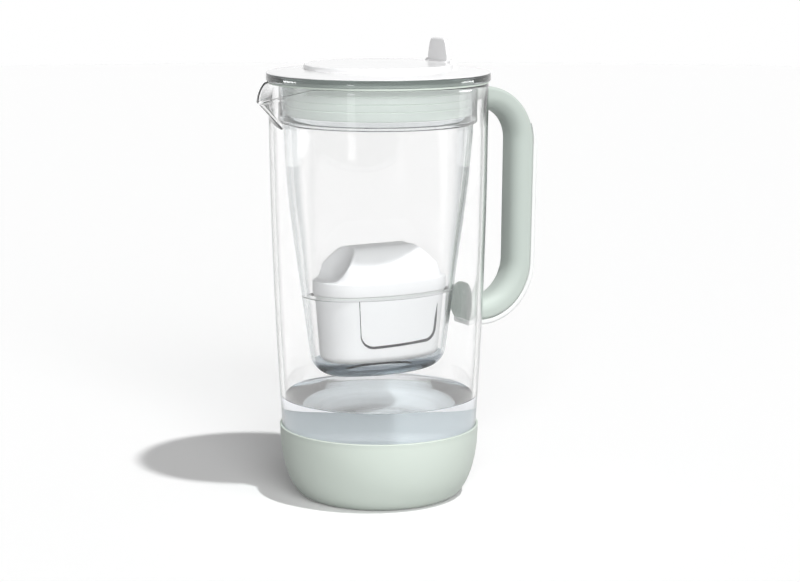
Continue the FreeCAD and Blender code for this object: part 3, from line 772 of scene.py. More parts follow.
FINISHES = {
    finish.name: finish
    for finish in (
        MouldedFinish(
            "mint_silicone", (0.67, 0.74, 0.68), (0.5, 0.6), grain=0.08, shade=(0.02, 0.015, 0.02), sheen=0.1
        ),
        # Painted light: a paler copy of the sleeve's mint for its inside and floor, seen through the glass
        # and water.
        MouldedFinish("inner_sleeve_painted_light", (0.88, 0.94, 0.95), (0.5, 0.6), grain=0.04),
        MouldedFinish("gasket_pale", (0.86, 0.89, 0.87), (0.5, 0.6), grain=0.08, sheen=0.1),
        # Edge colours are painted shade; the beak is the same glass with lighter painted edges.
        ClearFinish("jug_glass", 1.47, (0.12, 0.14, 0.138), edge_from=0.7, edge_full=0.93),
        ClearFinish("beak_glass", 1.47, (0.88, 0.9, 0.9), edge_from=0.7),
        MouldedFinish("sage_grip", (0.535, 0.595, 0.555), (0.5, 0.62), grain=0.1, sheen=0.1),
        MouldedFinish("rail", (0.88, 0.89, 0.885), (0.25, 0.35), grain=0.02, shade=FAINT, coat=0.2),
        ClearFinish("adhesive", 1.45, (0.6, 0.7, 0.64), (0.66, 0.77, 0.71)),
        ClearFinish("hopper_clear", 1.49, (0.42, 0.46, 0.47), edge_from=0.42, edge_full=0.72),
        # Painted shade: darker copies of the hopper's clear plastic, a dark band over a paler one on the
        # flange, then the collar under the seal and the foot.
        ClearFinish("flange_upper_painted_shade", 1.49, (0.25, 0.29, 0.29), (0.4, 0.45, 0.45)),
        ClearFinish("flange_lower_painted_shade", 1.49, (0.4, 0.44, 0.44), (0.66, 0.71, 0.7)),
        ClearFinish("collar_painted_shade", 1.49, (0.4, 0.44, 0.45), (0.76, 0.79, 0.8)),
        ClearFinish("foot_painted_shade", 1.49, (0.2, 0.23, 0.25), (0.4, 0.45, 0.49), edge_from=0.5),
        ClearFinish("seat_clear", 1.03, (0.95, 0.96, 0.96)),
        MouldedFinish("cartridge_white", (0.90, 0.90, 0.91), (0.4, 0.5), grain=0.06),
        # Painted shadow: dark strips for the shade in the grooves round the cartridge's panels.
        MouldedFinish("panel_painted_shadow", (0.02, 0.02, 0.025), (0.6, 0.7), shade=(-0.01, -0.01, -0.01), shine=0.1),
        WovenFinish("screen", (0.85, 0.86, 0.85), (0.35, 0.36, 0.35)),
        GrainsFinish("granules", (0.03, 0.03, 0.028), (0.5, 0.44, 0.34)),
        MouldedFinish("lid_white", (0.93, 0.93, 0.935), (0.12, 0.2), grain=0.02, shade=FAINT, shine=0.4),
        # Partly painted light: the lid's pale mint, lightened to make up for the shade under the lid disc.
        MouldedFinish("skirt_painted_light_mint", (0.92, 0.98, 0.925), (0.35, 0.45), grain=0.03, shade=FAINT),
        MouldedFinish("seal_painted_light_mint", (0.9, 0.965, 0.905), (0.5, 0.6), grain=0.06, shade=FAINT, sheen=0.1),
        DrawnSteel("pin_steel", (0.68, 0.68, 0.69)),
        ClearFinish(
            "water",
            1.333,
            (0.88, 0.92, 0.96),
            (0.95, 0.965, 1.0),
            edge_from=0.8,
            ripple_scale=30.0,
            ripple=0.01,
            stretch=1.0,
        ),
    )
}


class Paintbox:
    """Materials of the finishes, each made when it is first asked for."""

    def __init__(self) -> None:
        """Make the shared groups."""
        self.groups = Groups()
        self.made: dict[str, bpy.types.Material] = {}

    def get(self, name: str) -> bpy.types.Material:
        """Material of a finish.

        Args:
            name: Name of the finish.

        Returns:
            The material.
        """
        if name not in self.made:
            self.made[name] = FINISHES[name].material(self.groups)
        return self.made[name]

    def dress_node(self, node: str, finish: str) -> None:
        """Give a finish to a node of the frame that stays in view.

        Args:
            node: Name of the node.
            finish: Name of its finish.
        """
        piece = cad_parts[node]
        piece.data.materials.clear()
        piece.data.materials.append(self.get(finish))
        log.info("node %s: %s", node, finish)

    def dress(
        self,
        piece: bpy.types.Object,
        finishes: Sequence[str],
        body: Body,
        replaces: Sequence[str] = (),
    ) -> None:
        """Finish a piece and tie it to the frame.

        Args:
            piece: New piece in its place.
            finishes: Finishes in the order of the piece's face indices.
            body: Body that carries it.
            replaces: Nodes of the frame that it stands for.
        """
        for finish in finishes:
            piece.data.materials.append(self.get(finish))
        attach(piece, body.value)
        if replaces:
            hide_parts(*replaces)
        log.info("piece %s on %s: %d faces", piece.name, body.value, len(piece.data.polygons))


# Sub-assemblies


@dataclass
class GlassJug:
    """Blown glass jug with a pulled beak, and the water in it."""

    rim_height: float = 270.3
    rim_radius: float = 70.6
    bow: float = 3576.0
    wall: float = 3.0
    base: float = 3.0
    inner_base: float = 8.0
    corner: float = 34.0
    corner_guide: float = 70.0
    side_from: float = 46.0
    beak_root: float = 242.0
    beak_blend: float = 6.0
    beak_start: float = 69.5
    beak_spread: float = 26.8
    beak_power: float = 1.15
    beak_tip: float = 8.0
    beak_turn: float = math.radians(48)
    beak_proud: float = 0.4
    lip_from: float = 63.6
    lip_slope: float = 0.42
    lip_ease: float = 4.0
    lip_thinning: float = 0.6
    columns: int = 340
    side_rows: int = 28
    beak_rows: int = 34
    rim_rows: int = 8
    water_level: float = 66.0
    water_wet: float = 0.08
    meniscus: float = 1.3
    meniscus_reach: float = 7.0
    meniscus_fade: float = 1.6

    def radius_at(self, height: float) -> float:
        """Radius of the bowed outside at a height."""
        return self.rim_radius - self.bow + math.sqrt(self.bow**2 - (self.rim_height - height) ** 2)

    def angles(self) -> list[float]:
        """Column angles from the beak, half of them packed round it."""
        half, turn = self.columns // 2, self.beak_turn
        return steps_between(-turn, turn, half)[:-1] + steps_between(turn, TURN - turn, half)[:-1]

    def reach(self, angle: float, height: float, inset: float) -> float:
        """Distance of the wall from the axis.

        Args:
            angle: Direction from the beak.
            height: Level of the section.
            inset: Depth below the outside.

        Returns:
            Distance to the section, a circle drawn out to a round tip by two straight sides.
        """
        radius, tip = self.radius_at(height) - inset, self.beak_tip - inset
        rise = max(height - self.beak_root, 0.0) / (self.rim_height - self.beak_root)
        middle = self.beak_start + self.beak_spread * rise**self.beak_power - self.beak_tip
        turn = abs((angle + math.pi) % TURN - math.pi)
        if middle <= radius - tip:
            return radius
        side = math.acos((radius - tip) / middle)
        if turn >= side:
            return radius
        touch = math.atan2(tip * math.sin(side), middle + tip * math.cos(side))
        if turn <= touch:
            return middle * math.cos(turn) + math.sqrt(tip * tip - (middle * math.sin(turn)) ** 2)
        return radius / math.cos(side - turn)

    def lip_share(self, height: float) -> float:
        """Share of the wall's thickness that is left, as it thins towards the lip."""
        return 1 - self.lip_thinning * soft_step(height, self.beak_root, self.rim_height)

    def rim_at(self, angle: float, rounds: int = 12) -> float:
        """Height of the rim, dipped along the beak.

        Args:
            angle: Direction from the beak.
            rounds: Times the height is worked out again from the reach there.

        Returns:
            The height.
        """
        height = self.rim_height
        for _ in range(rounds):
            over = max(self.reach(angle, height, 0) * math.cos(angle) - self.lip_from, 0.0)
            height = self.rim_height - self.lip_slope * (math.hypot(over, self.lip_ease) - self.lip_ease)
        return height

    def side_outline(self, inset: float, floor: float) -> list[Flat]:
        """Outline from the middle of the floor up to the beak's root.

        Args:
            inset: Depth below the outside.
            floor: Level of the floor.

        Returns:
            Radii and heights.
        """
        bend = filleted(
            [
                Corner(0, floor),
                Corner(self.radius_at(floor) - inset, floor, self.corner - inset),
                Corner(self.radius_at(self.corner_guide) - inset, self.corner_guide),
            ],
            steps=20,
        )[1:-1]
        flat = [(radius, floor) for radius in steps_between(0, bend[0][0], 4)[:-1]]
        levels = steps_between(self.side_from, self.beak_root - self.beak_blend, self.side_rows)
        return flat + bend + [(self.radius_at(z) - inset, z) for z in levels]

    def wall_rings(self, inset: float, floor: float) -> list[list[Point]]:
        """Rings of one face of the wall from its floor up to just under the rim.

        Args:
            inset: Depth below the outside.
            floor: Level of the floor.

        Returns:
            The rings, from the middle of the floor upwards.
        """
        angles = self.angles()
        tops = [self.rim_at(a) - self.wall / 2 for a in angles]
        rings = []
        for radius, height in self.side_outline(inset, floor):
            columns = angles if radius > MM else [0.0]
            rings.append([(-radius * math.cos(a), radius * math.sin(a), height) for a in columns])
        start = self.beak_root - self.beak_blend
        for share in steps_between(0, 1, self.beak_rows)[1:]:
            ring = []
            for a, top in zip(angles, tops):
                height = start + (top - start) * share
                reach = self.reach(a, height, inset * self.lip_share(height))
                ring.append((-reach * math.cos(a), reach * math.sin(a), height))
            rings.append(ring)
        return rings

    def build_glass(self) -> bpy.types.Object:
        """Closed wall of the jug with a fire-polished rim.

        Returns:
            The new object, whose beak takes the second finish.
        """
        outside = self.wall_rings(0.0, self.base)
        inside = self.wall_rings(self.wall, self.inner_base)
        rim = []
        for turn in steps_between(0, math.pi, self.rim_rows)[1:-1]:
            ring = []
            for out, inn in zip(map(Vector, outside[-1]), map(Vector, inside[-1])):
                spot = (out + inn) / 2 + (out - inn) / 2 * math.cos(turn)
                ring.append((spot.x, spot.y, spot.z + self.wall / 2 * math.sin(turn)))
            rim.append(ring)
        skin = Skin()
        for ring in outside + rim + inside[::-1]:
            skin.ring(ring)
        piece = skin.to_piece("jug_glass", 60)
        # Faces of the beak take the finish whose painted edge shade is lighter.
        for face in piece.data.polygons:
            x, y, z = face.center / MM
            inward = face.normal.xy.dot(face.center.xy) < 0
            proud = math.hypot(x, y) - self.radius_at(z) + self.wall * inward
            face.material_index = int(proud > self.beak_proud)
        return piece

    def build_water(self) -> bpy.types.Object:
        """Water left in the jug, with the raised edge where it wets the glass.

        Returns:
            The new object.
        """
        inset, level = self.wall - self.water_wet, self.water_level
        outline = self.side_outline(inset, self.inner_base - self.water_wet)
        outline = [spot for spot in outline if spot[1] < level - self.meniscus]
        edge = self.radius_at(level) - inset
        for away in steps_between(0, self.meniscus_reach, 12):
            outline.append((edge - away, level + self.meniscus * math.exp(-away / self.meniscus_fade)))
        outline += [(radius, level) for radius in steps_between(edge - self.meniscus_reach, 0, 5)[1:]]
        return turned("jug_water", outline, 256, 60)

    def make(self, paint: Paintbox) -> None:
        """Build and dress the glass and the water.

        Args:
            paint: Finishes.
        """
        glass = self.build_glass()
        paint.dress(glass, ["jug_glass", "beak_glass"], Body.JUG, ["glass_jug"])
        paint.dress(self.build_water(), ["water"], Body.JUG)


@dataclass
class FootSleeve:
    """Soft cup round the foot of the jug."""

    height: float = 47.4
    top_radius: float = 65.25
    bowl_radius: float = 64.9
    bowl_across: float = 18.0
    bowl_up: float = 45.6
    floor: float = 3.0
    lip_round: float = 0.6
    clearance: float = 0.2
    floor_normal: float = 0.5
    jug: GlassJug = field(default_factory=GlassJug)

    def make(self, paint: Paintbox) -> None:
        """Build and dress the sleeve, whose inside takes a paler finish, painted light.

        Args:
            paint: Finishes.
        """
        flat = self.bowl_radius - self.bowl_across
        bowl = [
            (flat + self.bowl_across * math.sin(a), self.bowl_up * (1 - math.cos(a)))
            for a in steps_between(0, math.pi / 2, 30)
        ]
        lip = filleted(
            [
                Corner(*bowl[-1]),
                Corner(self.top_radius, self.height, self.lip_round),
                Corner(self.top_radius - 2 * self.lip_round, self.height),
            ]
        )
        top = self.height - self.lip_round
        inner = [spot for spot in self.jug.side_outline(-self.clearance, self.floor) if spot[1] < top]
        edge = self.jug.radius_at(self.height) + self.clearance
        rim = [(edge, self.height), (edge, top)]
        outline = [(0.0, 0.0), (flat / 2, 0.0)] + bowl + lip[1:-1] + rim + inner[::-1]
        piece = turned("foot_sleeve", outline, 224)
        # Faces inside the sleeve and on its floor take the paler finish, painted light.
        for face in piece.data.polygons:
            inward = face.normal.xy.dot(face.center.xy) < 0
            bottom = face.normal.z > self.floor_normal and face.center.z < self.height / 2 * MM
            face.material_index = int(inward or bottom)
        finishes = ["mint_silicone", "inner_sleeve_painted_light"]
        paint.dress(piece, finishes, Body.JUG, ["base_sleeve"])


class Station(NamedTuple):
    """One section of the handle: its edge points in the XZ plane, half width and corner rounds."""

    inner: Flat
    outer: Flat
    half_width: float
    inner_round: float
    outer_round: float


@dataclass
class Handle:
    """Arched grip with its clear outer strip and adhesive pads."""

    outer_top: Flat = (113.2, 265.2)
    outer_foot: Flat = (110.2, 110.1)
    inner_top: Flat = (98.6, 249.6)
    inner_foot: Flat = (97.2, 123.1)
    bends_out: Flat = (38.0, 36.6)
    bends_in: Flat = (20.5, 26.5)
    half_width: float = 11.5
    inner_round: float = 9.0
    inner_round_share: float = 0.62
    outer_round: float = 2.4
    root: float = 60.0
    root_sunk: float = 2.0
    bond: float = 0.5
    bond_shares: Flat = (0.05, 0.95)
    flare_reach: float = 10.0
    flare_rise: float = 11.6
    flare_side: float = 4.0
    flare_drop: float = 3.0
    flare_round: float = 13.0
    pad_inset: float = 0.8
    strip: float = 3.4
    strip_taper: float = 26.0
    strip_half_width: float = 10.9
    strip_start_share: float = 0.04
    strip_round_shares: Flat = (0.1, 0.4)
    steps: int = 28
    jug: GlassJug = field(default_factory=GlassJug)

    def edge_line(self, top: Flat, foot: Flat, bends: Flat, out: float = 0.0) -> list[Flat]:
        """One edge of the arch, from the top root to the foot.

        Args:
            top: Corner of the top and upright runs.
            foot: Corner of the upright and foot runs.
            bends: Radii of the top and foot bends.
            out: Distance by which the line is set outwards.

        Returns:
            Points, in like numbers along each run and bend whatever the sizes.
        """
        bent = filleted(
            [
                Corner(self.root, top[1] + out),
                Corner(top[0] + out, top[1] + out, bends[0] + out),
                Corner(foot[0] + out, foot[1] - out, bends[1] + out),
                Corner(self.root, foot[1] - out),
            ],
            steps=self.steps,
        )
        straights = (0, self.steps + 1, len(bent) - 2)
        points = bent[:1]
        for n, (start, end) in enumerate(zip(bent, bent[1:])):
            points += run_to(start, end, self.steps if n in straights else 1)
        return points

    def on_glass(self, across: float, up: float, share: float = 1.0) -> float:
        """Distance along X of the bond, or of a share of its depth, from the axis."""
        return math.sqrt((self.jug.radius_at(up) + self.bond * share) ** 2 - across**2)

    def section(self, station: Station, inset: float = 0.0) -> list[Point]:
        """Points of one section of the bar.

        Args:
            station: Edges, width and rounds of the section.
            inset: Distance by which the outline is drawn in.

        Returns:
            The points, none of them inside the glass.
        """
        inn, out = station.inner, station.outer
        span, half = math.dist(inn, out), station.half_width - inset
        near, far = station.inner_round - inset, station.outer_round - inset
        outline = filleted(
            [
                Corner(inset, -half, near),
                Corner(span - inset, -half, far),
                Corner(span - inset, half, far),
                Corner(inset, half, near),
            ],
            closed=True,
            steps=10,
        )
        points = []
        for depth, across in outline:
            x, z = (a + (b - a) * depth / span for a, b in zip(inn, out))
            points.append((max(x, self.on_glass(across, z)), across, z))
        return points

    def swept(self, name: str, stations: Sequence[Station]) -> bpy.types.Object:
        """Bar through its sections, trimmed where it meets the glass.

        Args:
            name: Name of the piece.
            stations: Sections in their order.

        Returns:
            The new object.
        """
        skin = Skin()
        for station in stations:
            skin.ring(self.section(station))
        for ring in (skin.rings[0], skin.rings[-1]):
            tip = skin.middle(ring)
            glass = self.on_glass(tip.y, tip.z)
            if abs(tip.x - glass) < self.flare_reach:
                tip.x = glass
            skin.fan(ring, tip)
        return skin.to_piece(name, 50)

    def grip_stations(self) -> list[Station]:
        """Sections of the grip, spread where its foot lands on the glass.

        Returns:
            The sections from the top to the foot.
        """
        inner = self.edge_line(self.inner_top, self.inner_foot, self.bends_in)
        outer = self.edge_line(self.outer_top, self.outer_foot, self.bends_out)
        stations = []
        for inn, out in zip(inner, outer):
            reach = max(inn[0], out[0]) - self.on_glass(0, (inn[1] + out[1]) / 2)
            if reach < -self.root_sunk:
                continue
            share = 1 - max(reach, 0.0) / self.flare_reach
            spread = tuck(1.0, share) if out[1] < inn[1] else 0.0
            inner_round = min(self.inner_round, math.dist(inn, out) * self.inner_round_share)
            stations.append(
                Station(
                    (inn[0], inn[1] + self.flare_rise * spread),
                    (out[0], out[1] - self.flare_drop * spread),
                    self.half_width + self.flare_side * spread,
                    inner_round + (self.flare_round - self.inner_round) * spread,
                    self.outer_round + (self.flare_round - self.outer_round) * spread,
                )
            )
        return stations

    def strip_stations(self) -> list[Station]:
        """Sections of the strip, which thins out along the top bend.

        Returns:
            The sections from the top to the foot.
        """
        under = self.edge_line(self.outer_top, self.outer_foot, self.bends_out)
        over = self.edge_line(self.outer_top, self.outer_foot, self.bends_out, self.strip)
        start = self.outer_top[1] - self.bends_out[0] + self.strip_taper / 2
        stations = []
        for inn, out in zip(under, over):
            if inn[1] > start or inn[0] < self.on_glass(0, inn[1]) - self.root_sunk:
                continue
            share = soft_step((start - inn[1]) / self.strip_taper + self.strip_start_share)
            edge = (inn[0] + (out[0] - inn[0]) * share, inn[1] + (out[1] - inn[1]) * share)
            rounds = (math.dist(inn, edge) * part for part in self.strip_round_shares)
            stations.append(Station(inn, edge, self.strip_half_width, *rounds))
        return stations

    def build_pads(self, ends: Sequence[Station]) -> bpy.types.Object:
        """Thin layers of adhesive between the glass and the ends of the grip.

        Args:
            ends: Sections of the grip on the glass.

        Returns:
            The new object.
        """
        skin = Skin()
        for end in ends:
            outline = [(across, up) for _, across, up in self.section(end, self.pad_inset)]
            for share in self.bond_shares:
                skin.ring([(self.on_glass(y, z, share), y, z) for y, z in outline])
            for ring, share in zip(skin.rings, self.bond_shares):
                up = skin.middle(ring).z
                skin.fan(ring, (self.on_glass(0.0, up, share), 0.0, up))
            skin.rings = []
        return skin.to_piece("handle_pads")

    def make(self, paint: Paintbox) -> None:
        """Build and dress the grip, its strip and its pads.

        Args:
            paint: Finishes.
        """
        stations = self.grip_stations()
        grip = self.swept("handle_grip_soft", stations)
        paint.dress(grip, ["sage_grip"], Body.JUG, ["handle_grip"])
        strip = self.swept("handle_strip", self.strip_stations())
        paint.dress(strip, ["rail"], Body.JUG, ["handle_spine"])
        pads = self.build_pads((stations[0], stations[-1]))
        paint.dress(pads, ["adhesive"], Body.JUG, ["handle_bond_pads"])


@dataclass
class Hopper:
    """Clear funnel hung in the mouth of the jug."""

    flange_radius: float = 72.0
    flange_under: float = 271.5
    flange_split: float = 273.6
    flange_top: float = 276.5
    flange_round: float = 0.8
    collar_radius: float = 64.0
    collar_bore: float = 62.0
    collar_under: float = 244.5
    collar_floor: float = 246.5
    collar_round: float = 1.6
    root_round: float = 0.4
    floor_round: float = 0.6
    throat_round: float = 0.5
    throat_drop: float = 2.0
    wall: float = 2.0
    wall_gain: float = 2.6
    wall_levels: Flat = (95.0, 175.0)
    levels: tuple[float, ...] = (82.2, 135.0, 199.0, 246.5)
    half_lengths: tuple[float, ...] = (45.5, 53.0, 60.0, 61.5)
    half_widths: tuple[float, ...] = (28.5, 33.8, 48.0, 61.5)
    foot_round: float = 13.0
    seat_level: float = 135.0
    seat_thickness: float = 0.9
    seat_edge: float = 0.2
    seat_opening: Oval = Oval(44.4, 26.4, 0.15)
    outlet: Oval = Oval(24.0, 11.0)
    seal_under: float = 250.0
    # Level below which the side takes painted shade.
    painted_shade_foot: float = 92.0
    round_off: float = 0.01
    columns: int = 224
    # All but the first and last are darker copies of one clear plastic, painted shade.
    finishes: tuple[str, ...] = (
        "hopper_clear",
        "flange_upper_painted_shade",
        "flange_lower_painted_shade",
        "collar_painted_shade",
        "foot_painted_shade",
        "seat_clear",
    )

    def oval_at(self, height: float, inset: float = 0.0) -> Oval:
        """Section of the funnel.

        Args:
            height: Level of the section.
            inset: Depth below the outside, which also lifts the floor.

        Returns:
            The oval there, drawn in near the floor by the foot's round.
        """
        halves = (eased(list(zip(self.levels, row)), height) for row in (self.half_lengths, self.half_widths))
        rise = height - self.levels[0] - inset
        radius = self.foot_round - inset
        return Oval(*halves).inset(inset + tuck(radius, radius - rise))

    def wall_at(self, height: float) -> float:
        """Thickness of the wall, which grows from the foot to the shoulder."""
        return self.wall + self.wall_gain * soft_step(height, *self.wall_levels)

    def side_levels(self, floor: float, top: float) -> list[float]:
        """Levels of the side's rings, close together round the foot."""
        bend = [floor + drop for _, drop in quarter(self.foot_round, 18)]
        return bend + steps_between(floor + self.foot_round, top, 60)[1:]

    def add(self, skin: Skin, oval: Oval, height: float, finish: str = "hopper_clear") -> None:
        """Add one ring and the finish of the band before it."""
        skin.ring(oval.loop(height, self.columns), self.finishes.index(finish))

    def side_finish(self, height: float) -> str:
        """Finish of the side, with painted shade at the foot."""
        return "foot_painted_shade" if height < self.painted_shade_foot else "hopper_clear"

    def add_collar(self, skin: Skin) -> None:
        """Add the collar and flange, from the outside of the neck to its inside.

        Args:
            skin: Mesh that takes the rings.
        """
        neck = self.half_lengths[-1]
        throat = neck - self.wall_at(self.collar_floor)
        outline = filleted(
            [
                Corner(neck, self.collar_under),
                Corner(self.collar_radius, self.collar_under, self.collar_round),
                Corner(self.collar_radius, self.seal_under),
                Corner(self.collar_radius, self.flange_under, self.root_round),
                Corner(self.flange_radius, self.flange_under, self.flange_round),
                Corner(self.flange_radius, self.flange_split),
                Corner(self.flange_radius, self.flange_top, self.flange_round),
                Corner(self.collar_bore, self.flange_top, self.root_round),
                Corner(self.collar_bore, self.collar_floor, self.floor_round),
                Corner(throat, self.collar_floor, self.throat_round),
                Corner(throat, self.collar_floor - self.throat_drop),
            ],
            steps=5,
        )
        for radius, height in outline[1:-1]:
            # The flange's outer wall takes painted shade, darker above the split than below, and so does the
            # collar's wall under the seal.
            finish = "hopper_clear"
            if radius > self.collar_radius + self.round_off:
                finish = "flange_lower_painted_shade" if height <= self.flange_split else "flange_upper_painted_shade"
            elif height <= self.seal_under and radius > self.collar_bore:
                finish = "collar_painted_shade"
            self.add(skin, Oval(radius, radius), height, finish)

    def add_inside(self, skin: Skin, floor: float) -> None:
        """Add the inside, from the neck down past the cartridge's seat to the floor.

        Args:
            skin: Mesh that takes the rings.
            floor: Level of the floor inside.
        """
        seat, ledge = self.seat_level, self.seat_level - self.seat_thickness
        levels = self.side_levels(floor, self.collar_floor - self.throat_drop / 2)[::-1]
        for level in [z for z in levels if z > seat] + [seat]:
            self.add(skin, self.oval_at(level, self.wall_at(level)), level)
        brim = self.seat_opening.inset(-self.seat_edge)
        self.add(skin, brim, seat, "seat_clear")
        for level in (seat - self.seat_edge, ledge + self.seat_edge):
            self.add(skin, self.seat_opening, level, "seat_clear")
        self.add(skin, brim, ledge, "seat_clear")
        self.add(skin, self.oval_at(ledge, self.wall_at(ledge)), ledge, "seat_clear")
        for level in [z for z in levels if z < ledge]:
            self.add(skin, self.oval_at(level, self.wall_at(level)), level, self.side_finish(level))
        self.add(skin, self.outlet, floor, "foot_painted_shade")

    def make(self, paint: Paintbox) -> None:
        """Build and dress the funnel.

        Args:
            paint: Finishes.
        """
        skin = Skin()
        floor = self.levels[0]
        self.add(skin, self.outlet, floor)
        for level in self.side_levels(floor, self.collar_under):
            self.add(skin, self.oval_at(level), level, self.side_finish(level))
        self.add_collar(skin)
        self.add_inside(skin, floor + self.wall)
        skin.close(self.finishes.index("seat_clear"))
        piece = skin.to_piece("hopper_funnel", 50)
        paint.dress(piece, self.finishes, Body.HOPPER, ["hopper"])
        paint.dress_node("rim_gasket", "mint_silicone")


@dataclass
class Cartridge:
    """Oval filter cartridge in the hopper's seat."""

    rim: Oval = Oval(45.4, 27.4, 0.15)
    rim_under: float = 136.0
    rim_parting: float = 140.7
    rim_top: float = 145.4
    rim_round: float = 1.0
    neck: Oval = Oval(44.0, 26.0, 0.15)
    foot: Oval = Oval(40.8, 22.8, 0.15)
    foot_level: float = 91.4
    foot_round: float = 5.0
    gasket_depth: float = 1.0
    gasket_play: float = 0.1
    block_rise: float = 20.5
    block_half_length: float = 22.0
    block_half_width: float = 22.5
    scoop: float = 8.0
    scoop_run: float = 16.0
    scoop_power: float = 1.8
    flank_run: float = 17.0
    flank_power: float = 2.2
    crease: float = 4.0
    rim_fade: float = 3.0
    columns: int = 288
    rows: int = 96
    panel: tuple[Corner, ...] = (
        Corner(-26.6, 134.0),
        Corner(-24.2, 102.3, 9.0),
        Corner(29.4, 103.9, 8.0),
        Corner(31.2, 127.4),
    )
    # Sizes of the painted shadow lines.
    line_width: float = 1.7
    line_proud: float = 0.12
    line_depth: float = 0.4
    line_end_shares: Flat = (0.25, 0.2)
    line_swell_shares: Flat = (0.2, 0.35)
    line_fade_shares: Flat = (1.0, 0.9)
    line_bold_shares: Flat = (0.6, 0.8)
    line_bold_gain: float = 0.3
    screen_nodes: tuple[str, ...] = ("inlet_screen", "outlet_screen")

    def rise(self, x: float, y: float) -> float:
        """Height of the cap's pull block above the rim.

        Args:
            x: Place along the cartridge.
            y: Place across it.

        Returns:
            The height, nought outside the block, with finger scoops at both ends.
        """
        along = self.block_half_length + self.scoop * (y / self.block_half_width) ** 2 - abs(x)
        along += self.scoop_run
        across = self.block_half_width - abs(y)
        edge = self.rim.reach(math.atan2(y, x)) - self.rim_round - math.hypot(x, y)
        if min(along, across, edge) <= 0:
            return 0.0
        ends = self.block_rise * (along / self.scoop_run) ** self.scoop_power
        flanks = self.block_rise * (1 - (1 - min(across / self.flank_run, 1.0)) ** self.flank_power)
        return max(soft_min(ends, flanks, self.crease), 0.0) * soft_step(edge, 0.0, self.rim_fade)

    def build_cap(self) -> bpy.types.Object:
        """Domed top of the cartridge with its pull block, closed underneath.

        Returns:
            The new object.
        """
        skin = Skin()
        land = self.rim.inset(self.rim_round).loop(0.0, self.columns)
        for share in steps_between(0, 1, self.rows):
            spots = [(x * share, y * share) for x, y, _ in (land if share else land[:1])]
            skin.ring([(x, y, self.rim_top + self.rise(x, y)) for x, y in spots])
        for inset, drop in quarter(self.rim_round, 5)[1:]:
            skin.ring(self.rim.inset(inset).loop(self.rim_top - drop, self.columns))
        skin.ring(self.rim.loop(self.rim_parting, self.columns))
        skin.ring([(0.0, 0.0, self.rim_parting)])
        return skin.to_piece("cartridge_cap_block", 60)

    def build_shell(self) -> bpy.types.Object:
        """Cup of the cartridge with its rim, closed where the cap sits on it.

        Returns:
            The new object.
        """
        skin = Skin()
        skin.ring([(0.0, 0.0, self.rim_parting)])
        skin.ring(self.rim.loop(self.rim_parting, self.columns))
        for inset, rise in reversed(quarter(self.rim_round, 4)):
            skin.ring(self.rim.inset(inset).loop(self.rim_under + rise, self.columns))
        bend_top = self.foot_level + self.foot_round
        levels = steps_between(self.rim_under, bend_top, 12)
        levels += [self.foot_level + inset for inset, _ in quarter(self.foot_round, 8)[1:]]
        for level in levels:
            share = (level - self.foot_level) / (self.rim_under - self.foot_level)
            oval = self.foot.towards(self.neck, share).inset(tuck(self.foot_round, bend_top - level))
            skin.ring(oval.loop(level, self.columns))
        skin.ring([(0.0, 0.0, self.foot_level)])
        return skin.to_piece("cartridge_cup", 50)

    def build_gasket(self) -> bpy.types.Object:
        """Soft ring between the rim and the hopper's seat.

        Returns:
            The new object.
        """
        skin = Skin()
        top, under = self.rim_under, self.rim_under - self.gasket_depth
        out, inn = self.rim.inset(self.rim_round), self.neck.inset(-self.gasket_play)
        for oval, height in ((out, top), (out, under), (inn, under), (inn, top)):
            skin.ring(oval.loop(height, self.columns))
        skin.close()
        return skin.to_piece("cartridge_seat_ring")

    def line_half(self, share: float) -> float:
        """Half width of a painted shadow line, thin at both ends and boldest late.

        Args:
            share: Place along the line, from 0 to 1.

        Returns:
            The half width there.
        """
        start, end = self.line_end_shares
        start += (1 - start) * soft_step(share, *self.line_swell_shares)
        end += (1 - end) * soft_step(share, *self.line_fade_shares)
        bold = 1 + self.line_bold_gain * soft_step(share, *self.line_bold_shares)
        return self.line_width / 2 * start * end * bold

    def line_path(self) -> tuple[list[Flat], list[float]]:
        """Path of a painted shadow line round a panel on the flank.

        Returns:
            Points about a millimetre apart, and each one's share of the length.
        """
        corners = filleted(self.panel, steps=12)
        path, lengths = corners[:1], [0.0]
        for start, end in zip(corners, corners[1:]):
            path += run_to(start, end, max(int(math.dist(start, end)), 1))
        for start, end in zip(path, path[1:]):
            lengths.append(lengths[-1] + math.dist(start, end))
        return path, [length / lengths[-1] for length in lengths]

    def build_lines(self, cup: bpy.types.Mesh) -> bpy.types.Object:
        """Shadow lines round the panels on both flanks of the cup, laid on its surface.

        Args:
            cup: Mesh of the cup.

        Returns:
            The new object.
        """
        shell = BVHTree.FromPolygons([v.co for v in cup.vertices], [p.vertices for p in cup.polygons])
        path, shares = self.line_path()
        skin = Skin()
        for side in (-1, 1):
            for n, ((x, z), share) in enumerate(zip(path, shares)):
                back, ahead = path[max(n - 1, 0)], path[min(n + 1, len(path) - 1)]
                run = Vector((ahead[0] - back[0], ahead[1] - back[1])).normalized()
                half = self.line_half(share)
                over, under = [], []
                for across in (-half, half):
                    px, pz = x - run.y * across, z + run.x * across
                    start = Vector((px, side * 2 * self.rim.half_width, pz)) * MM
                    hit = shell.ray_cast(start, Vector((0, -side, 0)))[0].y / MM
                    over.append((px, hit + side * self.line_proud, pz))
                    under.append((px, hit - side * self.line_depth, pz))
                skin.ring(over + under[::-1])
            skin.cap()
        return skin.to_piece("cartridge_panel_painted_shadows")

    def make(self, paint: Paintbox) -> None:
        """Build and dress the cartridge.

        Args:
            paint: Finishes.
        """
        body, white = Body.CARTRIDGE, Slot.CARTRIDGE_WHITE
        paint.dress(self.build_cap(), ["cartridge_white"], body, ["cartridge_cap"])
        cup = self.build_shell()
